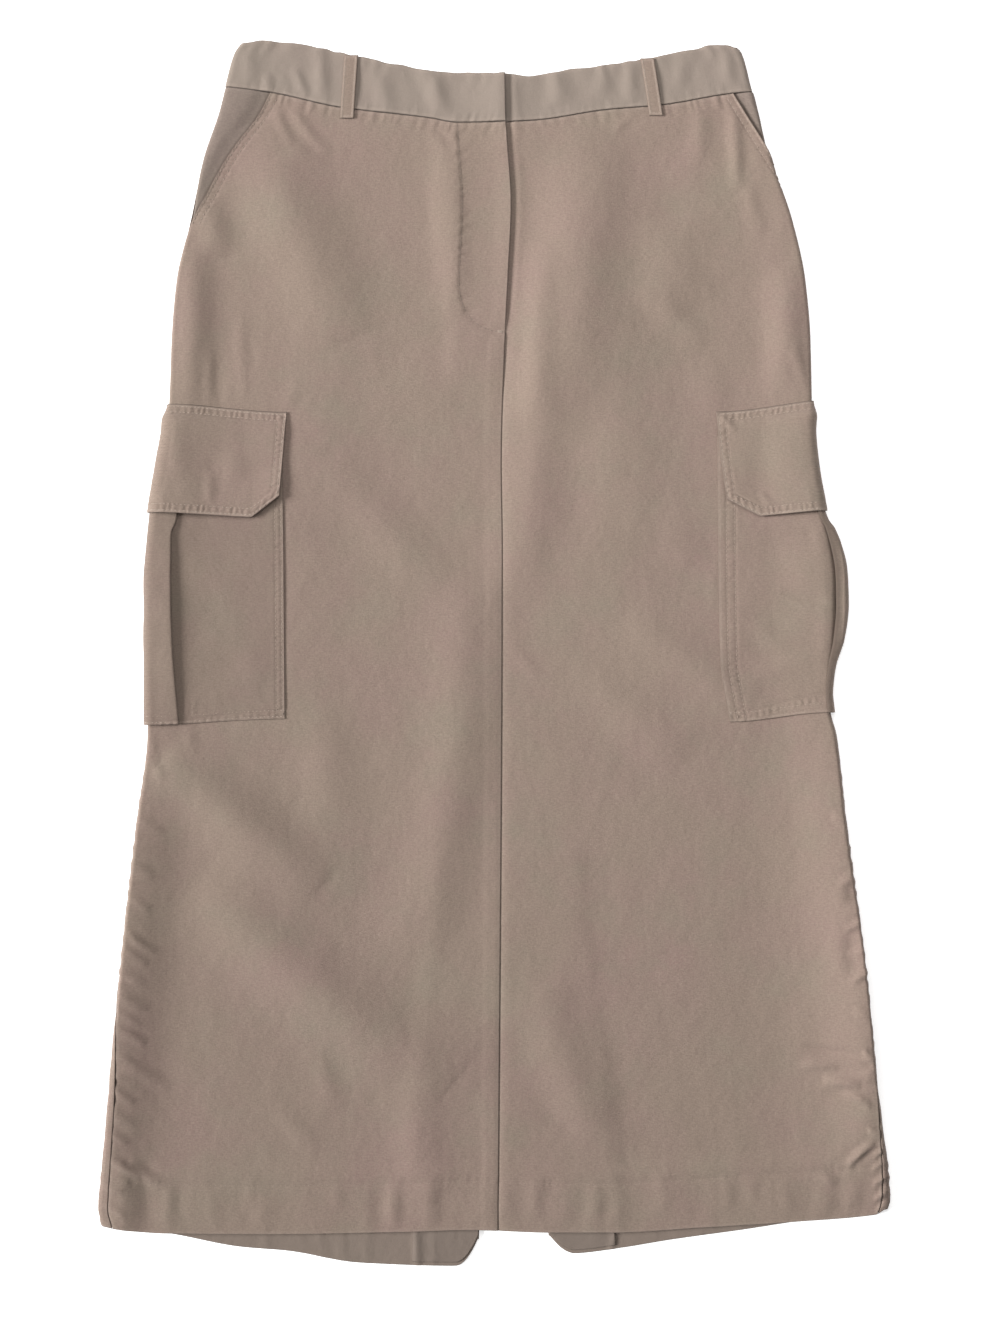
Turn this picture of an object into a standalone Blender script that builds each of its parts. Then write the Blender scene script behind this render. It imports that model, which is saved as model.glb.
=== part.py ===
"""Cargo utility skirt, laid flat on its back, with one solid for each piece that is cut and sewn on.

The skirt is a flattened tube of cloth. A place on the tube is given by
    side   LEFT or RIGHT, as seen from the front,
    q      the distance round the fold on that side: 0 on the fold's outermost line, negative on the
           front, positive on the back,
    down   the distance below the top of the waistband, and
    out    how far it lies outside the tube's outer face.
Each piece is a sheet of such places with a wall, so pieces that meet share one surface.

Frame: +X to the right, +Y towards the waist, +Z up, and z = 0 is the surface that the skirt lies on.
Lengths are in mm until a point is placed, in metres.
"""

import math
from typing import Callable, NamedTuple

import bmesh
import bpy
import numpy as np

MM = 0.001
LEFT, RIGHT = -1, 1


class Fade(NamedTuple):
    """A smooth step from 0 to 1: the distance at which it starts, and how far it takes."""

    start: float
    length: float

    def at(self, distance):
        return ease((distance - self.start) / self.length)


CENTRE_X = 0.25  # the middle of the outline, which is put at the origin
CENTRE_DOWN = 466.05
GAP = 0.3  # between pieces that meet
SIDE_GAP = 0.6  # at the side seams, measured on the outer face of the fold
WAIST_GAP = 0.5  # at the waist seam, whose curve the sheets' edges follow in steps
WALL = 1.0  # one layer of cloth
HEM_WALL = 1.9  # cloth turned up once
HEM_DEPTH = 38.0
HEM_STEP = 2.0

FOLD_RADIUS = 3.0  # of the outer face, seen along the fold
ARC = 4.6  # distance round a quarter of the fold
PINCH = 0.25  # least distance between two columns
FRONT_STATIONS = (-108.0, -75.0, -45.0, -32.0, -21.0, -12.0)
ARC_STATIONS = (-ARC, -ARC / 2, 0.0, ARC / 2, ARC)
SIDE_STATIONS = {
    LEFT: (*FRONT_STATIONS, *ARC_STATIONS, 12.0, 21.0, 32.0, 45.0, 75.0, 108.0),
    RIGHT: (*FRONT_STATIONS, *ARC_STATIONS, 12.0, 21.0, 32.0, 45.0, 85.0, 128.0),
}
MIDDLE_SHARES = (0.2, 0.4, 0.6, 0.8)
# The cargo pockets and flaps, which lie further out, take finer steps round the fold
CARGO_STATIONS = {
    side: sorted({*stations, -ARC * 0.75, -ARC / 4, ARC / 4, ARC * 0.75})
    for side, stations in SIDE_STATIONS.items()
}

# Rows of points that all sheets share, so that what lies on a panel follows its faces. They are
# closer where the back comes up over the flaps and the cargo pockets.
FLAP_ROWS = (275, 364)
POCKET_ROWS = (300, 520)
ROWS = (
    *(80, 110, 140, 170, 196, 222, 250, 275, 300, 332, 364, 390, 416, 442, 468, 494, 510, 520),
    *(545, 575, 605, 640, 675, 710, 745, 785, 830),
)
HEM_ROWS = 3  # rows of a panel that lie in the hem's double cloth
# Rows of the fronts and hip facings where the slanted opening goes round the fold
HIP_ROWS = {LEFT: (126, 133, 147, 154), RIGHT: (74, 86, 92, 98, 104, 118)}

# Room between the front and the back layer, and how it fades with the distance from its cause
ROOM_PLAIN = 1.0
ROOM_FOLD = 3.6
ROOM_WAIST = 3.2
ROOM_HIP = 2.0
ROOM_FLY_BAND = 3.7
ROOM_FLY = 2.5
ROOM_HEM = 2.7
ROOM_VENT = 2.1
ROOM_VENT_HEM = 3.5
ROOM_MOST = 3.8
ROOM_POWER = 4  # a higher power follows the largest of the rooms more closely
FOLD_FADE = Fade(0.0, 60.0)  # inwards from a fold
WAIST_FADE = Fade(6.0, 44.0)  # below the waist seam
HIP_FADE = Fade(62.0, 46.0)  # inwards from a fold
HIP_END_FADE = Fade(0.0, 30.0)  # below the hip facing
FLY_FADE = Fade(0.0, 24.0)  # beside the lap
FLY_END_FADE = Fade(20.0, 40.0)  # below the fly
HEM_FADE = Fade(-24.0, 20.0)  # towards the hem's turned edge
VENT_FADE = Fade(0.0, 24.0)  # beside the vent's facing
VENT_TOP_FADE = Fade(-40.0, 24.0)  # towards the top of the slit
RIDGE_END = Fade(-0.125, 0.25)  # at a soft fold's ends, in shares of its length

# Waistband
BAND_PROUD = 0.5
BAND_WALL = 2.2
TAB_WALL = 1.5  # the end of the right half, under the left half
LAP = 34.0  # width of the fly's lap
LAP_RISE = Fade(0.5, 7.5)  # the under layer comes up beside the lap
LAP_STEPS = (LAP / 2, 0.8, -3.5, -8.0)  # columns of the under layer, to the left of the lap's edge
WAIST_LIFT = 2.0  # the band and its loops under the back
WAIST_LIFT_FADE = Fade(66.0, 60.0)

# Fly and centre front
FLY_END = 221.0
LAP_END = Fade(-18.0, 18.0)  # the lap narrows to the centre seam above the fly's end
SEAM_STEP = 0.5  # the right panel lies this much lower beside the centre seam
SEAM_STEP_FADE = Fade(20.0, 35.0)  # below the fly's end

# Hip pockets
FACING_UNDER = 25.0
FACING_RISE = Fade(1.0, 24.0)  # the facing comes up to the panel's own level in the opening
FACING_CLOSE = Fade(118.0, 16.0)  # the opening closes at these heights
FACING_END = 166.0

# Cargo pockets and flaps
POCKET_HALF = 104.5
POCKET_WALL = 1.0
POCKET_LAST_ROW = 12.0  # least distance between the pocket's lower edge and the row above it
LAYER_PITCH = POCKET_WALL + GAP
STRIP_HALF = 23.5
STRIP_RISE_FADE = Fade(0.0, 18.0)
STRIP_RISE_POWER = 0.7
BULGE_WIDTH = 16.0
HALF_TURN_POINTS = 5
HALF_TURN_CLEAR = 0.5  # least distance between a half turn and the next column
PLEAT_STEP = Fade(-12.0, 11.0)  # the flap climbs onto the pleat
PLEAT_ROOM = 0.3  # more room between the pleat and the flap
PLEAT_END = Fade(-3.0, 3.0 + ARC)  # the pleat thins out round the fold
POCKET_INNER_Q = -50.0  # columns further out than this are shared with the panels
FLAP_WALL = 1.4
FLAP_OVER = 3.0  # the flap is wider than the pocket at the rear
FLAP_TOP_ROWS = (0.0, 7.0, 14.0)
FLAP_CLIMB = Fade(1.0, 12.0)  # from the flap's seam up onto the pocket
FLAP_REAR_Q = 90.0
LIFT_ABOVE = Fade(-25.0, 25.0)  # the back comes up above what lies under it,
LIFT_BELOW = Fade(0.0, 25.0)  # and down again below it
LIFT_ASIDE = Fade(0.0, 60.0)  # and beside it

# Vent
VENT_TOP = 640.0
VENT_FACING_WIDTH = 50.0
VENT_FACING_WALL = 0.8
VENT_FACING_TOP = VENT_TOP - 12.0
VENT_FACING_IN = 0.5  # its edge lies this far in from the slit
VENT_FACING_ABOVE_HEM = 3.0
VENT_FACING_TURN = (8.0, 1.0)  # rows above the hem's turned edge
CORNER_SHARES = (1.0, 0.5, 0.17)  # columns across a rounded corner, in shares of its width

# Belt loops
LOOP_WIDTH = 10.6
LOOP_WALL = 1.2
LOOP_BELOW_SEAM = 8.0

CLOTH_COLOUR = (0.33, 0.254, 0.205, 1.0)
FACING_COLOUR = (0.27, 0.208, 0.168, 1.0)
CLOTH_ROUGHNESS = 0.9


class Section(NamedTuple):
    """Where the tube's two folds lie at one height."""

    down: float
    left: float
    right: float


SECTIONS = (
    Section(2, -192, 182),
    Section(9, -196.7, 188),
    Section(36, -204.2, 195.5),
    Section(54, -208.8, 200.8),
    Section(90, -221, 211.5),
    Section(136, -230.8, 227.4),
    Section(182, -241.5, 237.3),
    Section(227, -245.3, 241.1),
    Section(273, -246.8, 241.9),
    Section(296, -248, 240),
    Section(318, -251.8, 241.9),
    Section(364, -259, 249.5),
    Section(410, -262.8, 254),
    Section(493, -263.1, 254.8),
    Section(510, -263.1, 256.3),
    Section(528, -263.5, 261),
    Section(592, -271.9, 268.5),
    Section(706, -284.8, 283.7),
    Section(797, -293.2, 292.8),
    Section(881, -300.8, 301.7),
    Section(889, -301.3, 300.2),
    Section(901, -298.5, 297),
)


class EdgePoint(NamedTuple):
    """One point of an edge that runs across the skirt."""

    x: float
    down: float


BAND_TOP = (
    EdgePoint(-200, 8.4),
    EdgePoint(-189, 1.5),
    EdgePoint(-177.7, 0),
    EdgePoint(-154.8, 1.5),
    EdgePoint(-109, 10.6),
    EdgePoint(-63.6, 19.8),
    EdgePoint(-41, 23.6),
    EdgePoint(16, 25.1),
    EdgePoint(27.6, 26.6),
    EdgePoint(50.4, 22.8),
    EdgePoint(96, 16.7),
    EdgePoint(141.6, 8.4),
    EdgePoint(164, 3.8),
    EdgePoint(176, 2.8),
    EdgePoint(188, 8.4),
)
WAIST_SEAM = (
    EdgePoint(-203.5, 35),
    EdgePoint(-167.8, 39.5),
    EdgePoint(-118.4, 50.2),
    EdgePoint(-48.5, 58.5),
    EdgePoint(-27, 62),
    EdgePoint(5, 61.6),
    EdgePoint(34, 60),
    EdgePoint(85, 52.4),
    EdgePoint(129, 48.6),
    EdgePoint(179, 40.3),
    EdgePoint(195.5, 38.8),
)
FRONT_HEM = (
    EdgePoint(-301.5, 899),
    EdgePoint(-291.6, 902.5),
    EdgePoint(-250.6, 906.7),
    EdgePoint(-165.5, 907.4),
    EdgePoint(-79.6, 905.9),
    EdgePoint(-15.8, 904),
    EdgePoint(44, 905.9),
    EdgePoint(97, 905.9),
    EdgePoint(149, 902.9),
    EdgePoint(232, 897.6),
    EdgePoint(290.5, 892.2),
    EdgePoint(300.4, 886.2),
)
BACK_HEM_LEFT = (
    EdgePoint(-301.5, 899),
    EdgePoint(-291.6, 902.5),
    EdgePoint(-250.6, 906.7),
    EdgePoint(-193.6, 917.3),
    EdgePoint(-157, 920.4),
    EdgePoint(-102.4, 929.5),
    EdgePoint(-29.4, 932),
    EdgePoint(-12, 932),
)
BACK_HEM_RIGHT = (
    EdgePoint(43.5, 923),
    EdgePoint(61.8, 922.5),
    EdgePoint(98.2, 918),
    EdgePoint(134.7, 912),
    EdgePoint(189.4, 904.4),
    EdgePoint(235, 897.6),
    EdgePoint(290.5, 892.2),
    EdgePoint(300.4, 886.2),
)


class Corner(NamedTuple):
    """A rounded lower corner of a back, beside the slit."""

    height: float
    width: float


SLIT_CORNER = {LEFT: Corner(20.5, 17.5), RIGHT: Corner(14.0, 20.0)}


class UprightPoint(NamedTuple):
    """One point of a line that runs down the skirt: x, or q where the line says so."""

    down: float
    place: float


CENTRE_FRONT = (
    UprightPoint(26, 8.6),
    UprightPoint(61, 9.3),
    UprightPoint(123, 13.1),
    UprightPoint(177, 10.8),
    UprightPoint(221, 8.6),
    UprightPoint(321, 5.5),
    UprightPoint(383, 6.3),
    UprightPoint(905, 3.2),
)
SIDE_SEAM_Q = {
    LEFT: (UprightPoint(0, 0), UprightPoint(690, 0), UprightPoint(805, -8), UprightPoint(900, -10)),
    RIGHT: (
        UprightPoint(2, 22),
        UprightPoint(68, 24),
        UprightPoint(150, 20),
        UprightPoint(425, 19),
        UprightPoint(524, 17),
        UprightPoint(653, 8),
        UprightPoint(729, 2),
        UprightPoint(805, -4),
        UprightPoint(890, -9),
    ),
}


class OpeningPoint(NamedTuple):
    """Width of the hip facing at one height, from the side seam to the slanted opening."""

    down: float
    left: float
    right: float


HIP_OPENING = (
    OpeningPoint(35, 38, 41),
    OpeningPoint(56, 32.5, 35),
    OpeningPoint(75, 25, 28.5),
    OpeningPoint(93, 18, 22),
    OpeningPoint(111, 11.7, 14),
    OpeningPoint(126, 6.5, 8),
    OpeningPoint(136, 3, 4),
    OpeningPoint(151, 0, 0),
)


class VentPoint(NamedTuple):
    """The centre back at one height: a seam above, and below it a slit that is open by twice "half"."""

    down: float
    middle: float
    half: float


CENTRE_BACK = (
    VentPoint(0, 7, 0),
    VentPoint(VENT_TOP, 10, 0),
    VentPoint(705, 11, 7),
    VentPoint(800, 12.8, 18.8),
    VentPoint(932, 15.8, 27.8),
)


class Ridge(NamedTuple):
    """A soft fold that stands up from the front, between two points."""

    x1: float
    down1: float
    x2: float
    down2: float
    half_width: float
    height: float


RIDGES = (
    Ridge(-245, 545, -120, 650, 48, 1.6),
    Ridge(-215, 640, -25, 790, 55, 1.5),
    Ridge(-25, 425, -60, 680, 46, 1.1),
    Ridge(-135, 80, -122, 260, 50, 1.2),
    Ridge(75, 75, 42, 290, 40, 1.5),
    Ridge(28, 720, 82, 815, 40, 1.1),
    Ridge(60, 400, 180, 520, 60, 0.9),
)


class Cargo(NamedTuple):
    """One cargo pocket with its flap; an edge at the fold is the one on the skirt's silhouette."""

    name: str
    side: int
    centre_q: float
    underfold: float
    front_edge: tuple[UprightPoint, ...]
    flap_top_front: float
    flap_top_fold: float
    flap_edge: tuple[UprightPoint, ...]
    flap_side_bottom: float  # where the front edge ends in the cut corner
    flap_bottom_front: float
    flap_bottom_fold: float
    corner_cut: float
    pocket_bottom_front: float
    pocket_bottom_fold: float
    strip_rise: float  # how far the pleat's edge stands up
    bulge: tuple[UprightPoint, ...]  # how far the pleat stands out sideways


CARGO = (
    Cargo(
        name="left",
        side=LEFT,
        centre_q=0.0,
        underfold=10.0,
        front_edge=(UprightPoint(282, -160.5), UprightPoint(515, -158.7)),
        flap_top_front=282.0,
        flap_top_fold=275.9,
        flap_edge=(UprightPoint(282, -157.1), UprightPoint(345.8, -162.4)),
        flap_side_bottom=345.8,
        flap_bottom_front=362.5,
        flap_bottom_fold=358.7,
        corner_cut=21.0,
        pocket_bottom_front=515.3,
        pocket_bottom_fold=519.8,
        strip_rise=2.6,
        bulge=(UprightPoint(360, 0), UprightPoint(520, 0)),
    ),
    Cargo(
        name="right",
        side=RIGHT,
        centre_q=19.5,
        underfold=3.35,
        front_edge=(
            UprightPoint(282, 169.5),
            UprightPoint(423, 171),
            UprightPoint(470, 172),
            UprightPoint(517.6, 179.6),
        ),
        flap_top_front=281.6,
        flap_top_fold=272.1,
        flap_edge=(UprightPoint(281.6, 168.9), UprightPoint(313, 171.9), UprightPoint(348, 176.5)),
        flap_side_bottom=348.1,
        flap_bottom_front=362.5,
        flap_bottom_fold=356.4,
        corner_cut=25.8,
        pocket_bottom_front=517.6,
        pocket_bottom_fold=510.3,
        strip_rise=0.0,
        bulge=(
            UprightPoint(364, 0),
            UprightPoint(374, 4),
            UprightPoint(401, 10.5),
            UprightPoint(427, 10.5),
            UprightPoint(455, 7.5),
            UprightPoint(488, 1.5),
            UprightPoint(500, 0),
        ),
    ),
)

Field = Callable[..., np.ndarray]


def soft_curve(xs, ys) -> Field:
    """A smooth curve through the points that never overshoots them.

    Between two points it is a cubic. Its slope at a point is the harmonic mean of the slopes on
    both sides, or 0 where they have opposite signs.
    """
    xs, ys = np.asarray(xs, float), np.asarray(ys, float)
    step = np.diff(xs)
    rise = np.diff(ys) / step
    slope = np.zeros_like(ys)
    together = rise[:-1] * rise[1:]
    total = np.where(together > 0, rise[:-1] + rise[1:], 1.0)
    slope[1:-1] = np.where(together > 0, 2 * together / total, 0.0)
    slope[0], slope[-1] = rise[0], rise[-1]

    def at(x):
        x = np.clip(x, xs[0], xs[-1])
        k = np.clip(np.searchsorted(xs, x) - 1, 0, len(step) - 1)
        t = (x - xs[k]) / step[k]
        start = (1 + 2 * t) * (1 - t) ** 2 * ys[k] + t * (1 - t) ** 2 * step[k] * slope[k]
        end = t**2 * (3 - 2 * t) * ys[k + 1] - t**2 * (1 - t) * step[k] * slope[k + 1]
        return start + end

    return at


def column(table, key: str, value: str) -> Field:
    """The soft curve of one named column of a table against another."""
    return soft_curve([getattr(row, key) for row in table], [getattr(row, value) for row in table])


def ease(t):
    """0 below t = 0, 1 above t = 1, and a smooth step between."""
    t = np.clip(t, 0.0, 1.0)
    return t * t * (3 - 2 * t)


def blend(start, end, share):
    return start + (end - start) * share


FOLD = {LEFT: column(SECTIONS, "down", "left"), RIGHT: column(SECTIONS, "down", "right")}
band_top = column(BAND_TOP, "x", "down")
waist_seam = column(WAIST_SEAM, "x", "down")
front_hem = column(FRONT_HEM, "x", "down")
back_hem = {LEFT: column(BACK_HEM_LEFT, "x", "down"), RIGHT: column(BACK_HEM_RIGHT, "x", "down")}
centre_front = column(CENTRE_FRONT, "down", "place")
side_seam = {side: column(table, "down", "place") for side, table in SIDE_SEAM_Q.items()}
slit_middle = column(CENTRE_BACK, "down", "middle")
slit_half = column(CENTRE_BACK, "down", "half")
facing_width = {LEFT: column(HIP_OPENING, "down", "left"), RIGHT: column(HIP_OPENING, "down", "right")}


def centre_back(side: int, down):
    """x of a back panel's inner edge."""
    return slit_middle(down) + side * (slit_half(down) + GAP / 2)


def corner_rise(side: int, x, down):
    """How much higher the rounded corner's edge is than the hem: height * (1 - distance / width)^2."""
    corner = SLIT_CORNER[side]
    distance = side * (x - centre_back(side, down))
    return corner.height * np.clip(1 - distance / corner.width, 0, 1) ** 2


def hip_opening(side: int, down):
    """q of the front panel's side edge: the slanted pocket opening, then the side seam."""
    return side_seam[side](down) - facing_width[side](down)


# The tube


def front_q(side: int, x, down):
    """q of a place on the front, from its x."""
    return -(ARC - FOLD_RADIUS + side * (FOLD[side](down) - x))


def back_q(side: int, x, down):
    return -front_q(side, x, down)


def flat_x(side: int, q, down):
    """x of the flat part at q, or of the arc's centre where q lies on the fold."""
    return FOLD[side](down) - side * (FOLD_RADIUS + np.maximum(np.abs(q) - ARC, 0.0))


def cargo_share(cargo: Cargo, x, down, top: float, bottom: float):
    """1 over a cargo pocket's rear half between two heights, going to 0 beside it."""
    across = cargo.side * (FOLD[cargo.side](down) - x)
    reach = cargo.centre_q + POCKET_HALF + FLAP_OVER
    beside = 1 - LIFT_ASIDE.at(across - reach)
    return beside * LIFT_ABOVE.at(down - top) * (1 - LIFT_BELOW.at(down - bottom))


def lift(x, down):
    """Height of the back's outer face over the surface: pockets, flaps and loops lie under it."""
    height = WAIST_LIFT * (1 - WAIST_LIFT_FADE.at(down))
    for cargo in CARGO:
        pocket = LAYER_PITCH * cargo_share(cargo, x, down, *POCKET_ROWS)
        flap = (FLAP_WALL + GAP) * cargo_share(cargo, x, down, *FLAP_ROWS)
        height = height + pocket + flap
    return height


def ridge_height(ridge: Ridge, x, down):
    """Height of one soft fold: (1 - a^2)^2 across it, times 4 s (1 - s) rounded along it."""
    along = np.array([ridge.x2 - ridge.x1, ridge.down2 - ridge.down1])
    length = math.hypot(*along)
    along = along / length
    run = ((x - ridge.x1) * along[0] + (down - ridge.down1) * along[1]) / length
    across = ((x - ridge.x1) * along[1] - (down - ridge.down1) * along[0]) / ridge.half_width
    crest = np.clip(1 - across**2, 0, None) ** 2
    ends = RIDGE_END.at(run) * RIDGE_END.at(1 - run)
    return ridge.height * crest * ends


def room(x, down):
    """Room between the two layers: a power mean of what each place needs, and the soft folds."""
    edge = np.minimum(x - FOLD[LEFT](down), FOLD[RIGHT](down) - x)
    from_fly = np.abs(x - centre_front(down) + LAP / 2) - LAP / 2
    from_slit = np.abs(x - slit_middle(down)) - slit_half(down) - VENT_FACING_WIDTH
    hem = HEM_FADE.at(down - front_hem(x) + HEM_DEPTH)
    vent = (1 - VENT_FADE.at(from_slit)) * VENT_TOP_FADE.at(down - VENT_TOP)
    fly = 1 - FLY_FADE.at(from_fly)
    waist = 1 - WAIST_FADE.at(down - waist_seam(x))
    hip = (1 - HIP_FADE.at(edge)) * (1 - HIP_END_FADE.at(down - FACING_END))
    needs = (
        ROOM_PLAIN * np.ones_like(edge),
        ROOM_FOLD * (1 - FOLD_FADE.at(edge)),
        ROOM_WAIST * waist,
        ROOM_HIP * hip,
        ROOM_FLY_BAND * fly * waist,
        ROOM_FLY * fly * (1 - FLY_END_FADE.at(down - FLY_END)),
        ROOM_HEM * hem,
        ROOM_VENT * vent,
        ROOM_VENT_HEM * vent * hem,
    )
    most = sum(need**ROOM_POWER for need in needs) ** (1 / ROOM_POWER)
    folds = sum(ridge_height(ridge, x, down) for ridge in RIDGES)
    return np.minimum(most + folds, ROOM_MOST)


def tube_point(side: int, q, down, out, aside=0.0) -> np.ndarray:
    """Points on the tube, in metres.

    On a fold the section is half an ellipse: with a = 90 degrees * q / ARC,
        x = centre + side * (FOLD_RADIUS + out) * cos(a), z = middle - (half height + out) * sin(a).
    Past the fold it is flat, out to each side of the tube. "aside" moves a point away sideways.
    """
    q, down, out = np.broadcast_arrays(q, down, out)
    turn = np.clip(q / ARC, -1, 1) * math.pi / 2
    flat = flat_x(side, q, down)
    bottom = lift(flat, down)
    top = bottom + 2 * WALL + room(flat, down)
    x = flat + side * (FOLD_RADIUS + out) * np.cos(turn) + side * aside
    z = (top + bottom) / 2 - ((top - bottom) / 2 + out) * np.sin(turn)
    return np.stack([x - CENTRE_X, CENTRE_DOWN - down, np.maximum(z, 0.0)], axis=-1) * MM


# Sheets


class Row(NamedTuple):
    """A row of points: shares of the sheet's top and bottom edge, and a distance down from there."""

    top: float
    bottom: float
    add: float


def rows_between(top: float, bottom: float, more: tuple = ()) -> list[Row]:
    """The sheet's two edges, and the shared rows between these two heights."""
    inner = [Row(0, 0, at) for at in sorted({*ROWS, *more}) if top < at < bottom]
    return [Row(1, 0, 0), *inner, Row(0, 1, 0)]


def panel_rows(more: tuple = ()) -> list[Row]:
    """A panel's rows, with the hem's turned edge, its fold line and its middle."""
    rows = rows_between(0, ROWS[-1] + 1, more)
    rows.insert(1, Row(0.5, 0, rows[1].add / 2))
    low = Row(0, 0.5, (ROWS[-1] - HEM_DEPTH) / 2)
    hem = [Row(0, 1, -HEM_DEPTH - HEM_STEP), Row(0, 1, -HEM_DEPTH), Row(0, 1, -HEM_DEPTH / 2)]
    return [*rows[:-1], low, *hem, rows[-1]]


def grid(side: int, rows: list[Row], top: Field, bottom: Field, columns: Field):
    """q, down and x of a sheet's points, rows by columns.

    The edges follow x, and a column's x follows its height, so a few rounds settle them.
    """
    count = columns(np.zeros((1, 1))).shape[-1]
    of_top, of_bottom, add = (np.array(part)[:, None] for part in zip(*rows))
    down = of_top * WAIST_SEAM[0].down + of_bottom * FRONT_HEM[0].down + add + np.zeros((1, count))
    for _ in range(4):
        q = every_column(columns, down)
        x = flat_x(side, q, down)
        down = of_top * top(x) + of_bottom * bottom(x) + add
    return q, down, x


def spread(stations, low, high):
    """Columns at the stations, pushed inside the sheet's edges: low on the first, high on the last."""
    stations = np.stack(np.broadcast_arrays(low, *stations, high))
    index = np.arange(len(stations))[:, None, None]
    inside = np.clip(stations, low + PINCH * index, high - PINCH * (len(stations) - 1 - index))
    return np.moveaxis(inside, 0, -1)


def by_hem(down, plain: float, in_hem: float):
    """One value for a panel's rows above the hem's turned edge, and one for the rows in the hem."""
    return np.where(np.arange(len(down))[:, None] >= len(down) - HEM_ROWS, in_hem, plain)


def every_column(columns: Field, down):
    """q of each column at the heights of its own points."""
    index = np.arange(down.shape[1])
    return columns(down)[:, index, index]


def make_material(name: str, colour) -> bpy.types.Material:
    material = bpy.data.materials.new(name)
    material.use_nodes = True
    shader = material.node_tree.nodes["Principled BSDF"]
    shader.inputs["Base Color"].default_value = colour
    shader.inputs["Roughness"].default_value = CLOTH_ROUGHNESS
    shader.inputs["Metallic"].default_value = 0.0
    material.diffuse_color = colour
    return material


def add_sheet(name: str, outer: np.ndarray, inner: np.ndarray, colour=CLOTH_COLOUR) -> bpy.types.Object:
    """One closed body between two grids of points, with walls round their edge."""
    rows, columns = outer.shape[:2]
    index = np.arange(rows * columns).reshape(rows, columns)
    corners = [index[:-1, :-1], index[:-1, 1:], index[1:, 1:], index[1:, :-1]]
    a, b, c, d = (corner.ravel() for corner in corners)
    face = np.concatenate([np.stack([a, b, c], 1), np.stack([a, c, d], 1)])
    rim = np.concatenate([index[0, :-1], index[:-1, -1], index[-1, :0:-1], index[:0:-1, 0]])
    ahead = np.roll(rim, -1)
    under = rows * columns
    # The walls of two sheets that meet at a seam are cut along the same diagonals.
    going_up = np.arange(len(rim)) > len(rim) - rows
    third = np.where(going_up, ahead, ahead + under)
    first = np.where(going_up, rim + under, rim)
    walls = np.concatenate(
        [np.stack([rim, rim + under, third], 1), np.stack([first, ahead + under, ahead], 1)]
    )
    faces = np.concatenate([face, face[:, ::-1] + under, walls])
    points = np.concatenate([outer.reshape(-1, 3), inner.reshape(-1, 3)])
    mesh = bpy.data.meshes.new(name)
    mesh.from_pydata(points.tolist(), [], faces.tolist())
    body = bmesh.new()
    body.from_mesh(mesh)
    bmesh.ops.recalc_face_normals(body, faces=body.faces)
    body.to_mesh(mesh)
    body.free()
    mesh.shade_smooth()
    mesh.set_sharp_from_angle(angle=math.radians(40))
    mesh.materials.append(make_material(name, colour))
    obj = bpy.data.objects.new(name, mesh)
    bpy.context.scene.collection.objects.link(obj)
    return obj


def beside_lap(side: int, down):
    """Columns that the two fronts share at the fly's lap, and where the columns beyond it start."""
    steps = (LAP, LAP / 2) if side == LEFT else LAP_STEPS
    places = [front_q(side, centre_front(down) - step, down) for step in steps]
    return (places[::-1] if side == LEFT else places), places[0 if side == LEFT else -1]


def make_front_panel(side: int, name: str):
    """A front, from the centre to the pocket opening and the side seam.

    The right one runs on under the fly as far as the lap is wide, and lies lower beside the seam.
    """

    def lap(down):
        return LAP * (1 - LAP_END.at(down - FLY_END)) if side == RIGHT else 0.0 * down

    def edge_x(down):
        return centre_front(down) + (GAP if side == RIGHT else 0.0) - lap(down)

    def columns(down):
        low = front_q(side, edge_x(down), down)
        high = hip_opening(side, down) - SIDE_GAP / 2
        near, start = beside_lap(side, down)
        middle = [blend(start, FRONT_STATIONS[0], share) for share in MIDDLE_SHARES]
        last = max(point.place for point in SIDE_SEAM_Q[side])
        sides = [station for station in SIDE_STATIONS[side] if station < last]
        return spread([*near, *middle, *sides], low, high)

    def lowered(x, down):
        if side == LEFT:
            return 0.0 * x
        depth = blend(WALL + GAP, SEAM_STEP, SEAM_STEP_FADE.at(down - FLY_END))
        return -depth * (1 - LAP_RISE.at(x - centre_front(down)))

    rows = panel_rows(HIP_ROWS[side])
    q, down, x = grid(side, rows, lambda x: waist_seam(x) + WAIST_GAP / 2, front_hem, columns)
    out = lowered(x, down)
    outer = tube_point(side, q, down, out)
    inner = tube_point(side, q, down, out - by_hem(down, WALL, HEM_WALL))
    return add_sheet(name, outer, inner)


def corner_columns(side: int, edge_q):
    """Columns that a back and its vent facing share at the rounded corner."""
    return [edge_q - SLIT_CORNER[side].width * share for share in CORNER_SHARES]


def make_back_panel(side: int, name: str):
    """A back, from the side seam to the centre back seam and the slit below it."""

    def columns(down):
        low = side_seam[side](down) + SIDE_GAP / 2
        high = back_q(side, centre_back(side, down), down)
        corner = corner_columns(side, high)
        sides = [station for station in SIDE_STATIONS[side] if station > low.min()]
        middle = [blend(sides[-1], corner[0], share) for share in MIDDLE_SHARES]
        return spread([*sides, *middle, *corner], low, high)

    q, down, x = grid(side, panel_rows(), lambda x: waist_seam(x) + WAIST_GAP / 2, back_hem[side], columns)
    down[-1] -= corner_rise(side, x[-1], down[-1])
    outer = tube_point(side, q, down, 0.0)
    inner = tube_point(side, q, down, -by_hem(down, WALL, HEM_WALL))
    return add_sheet(name, outer, inner)


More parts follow.
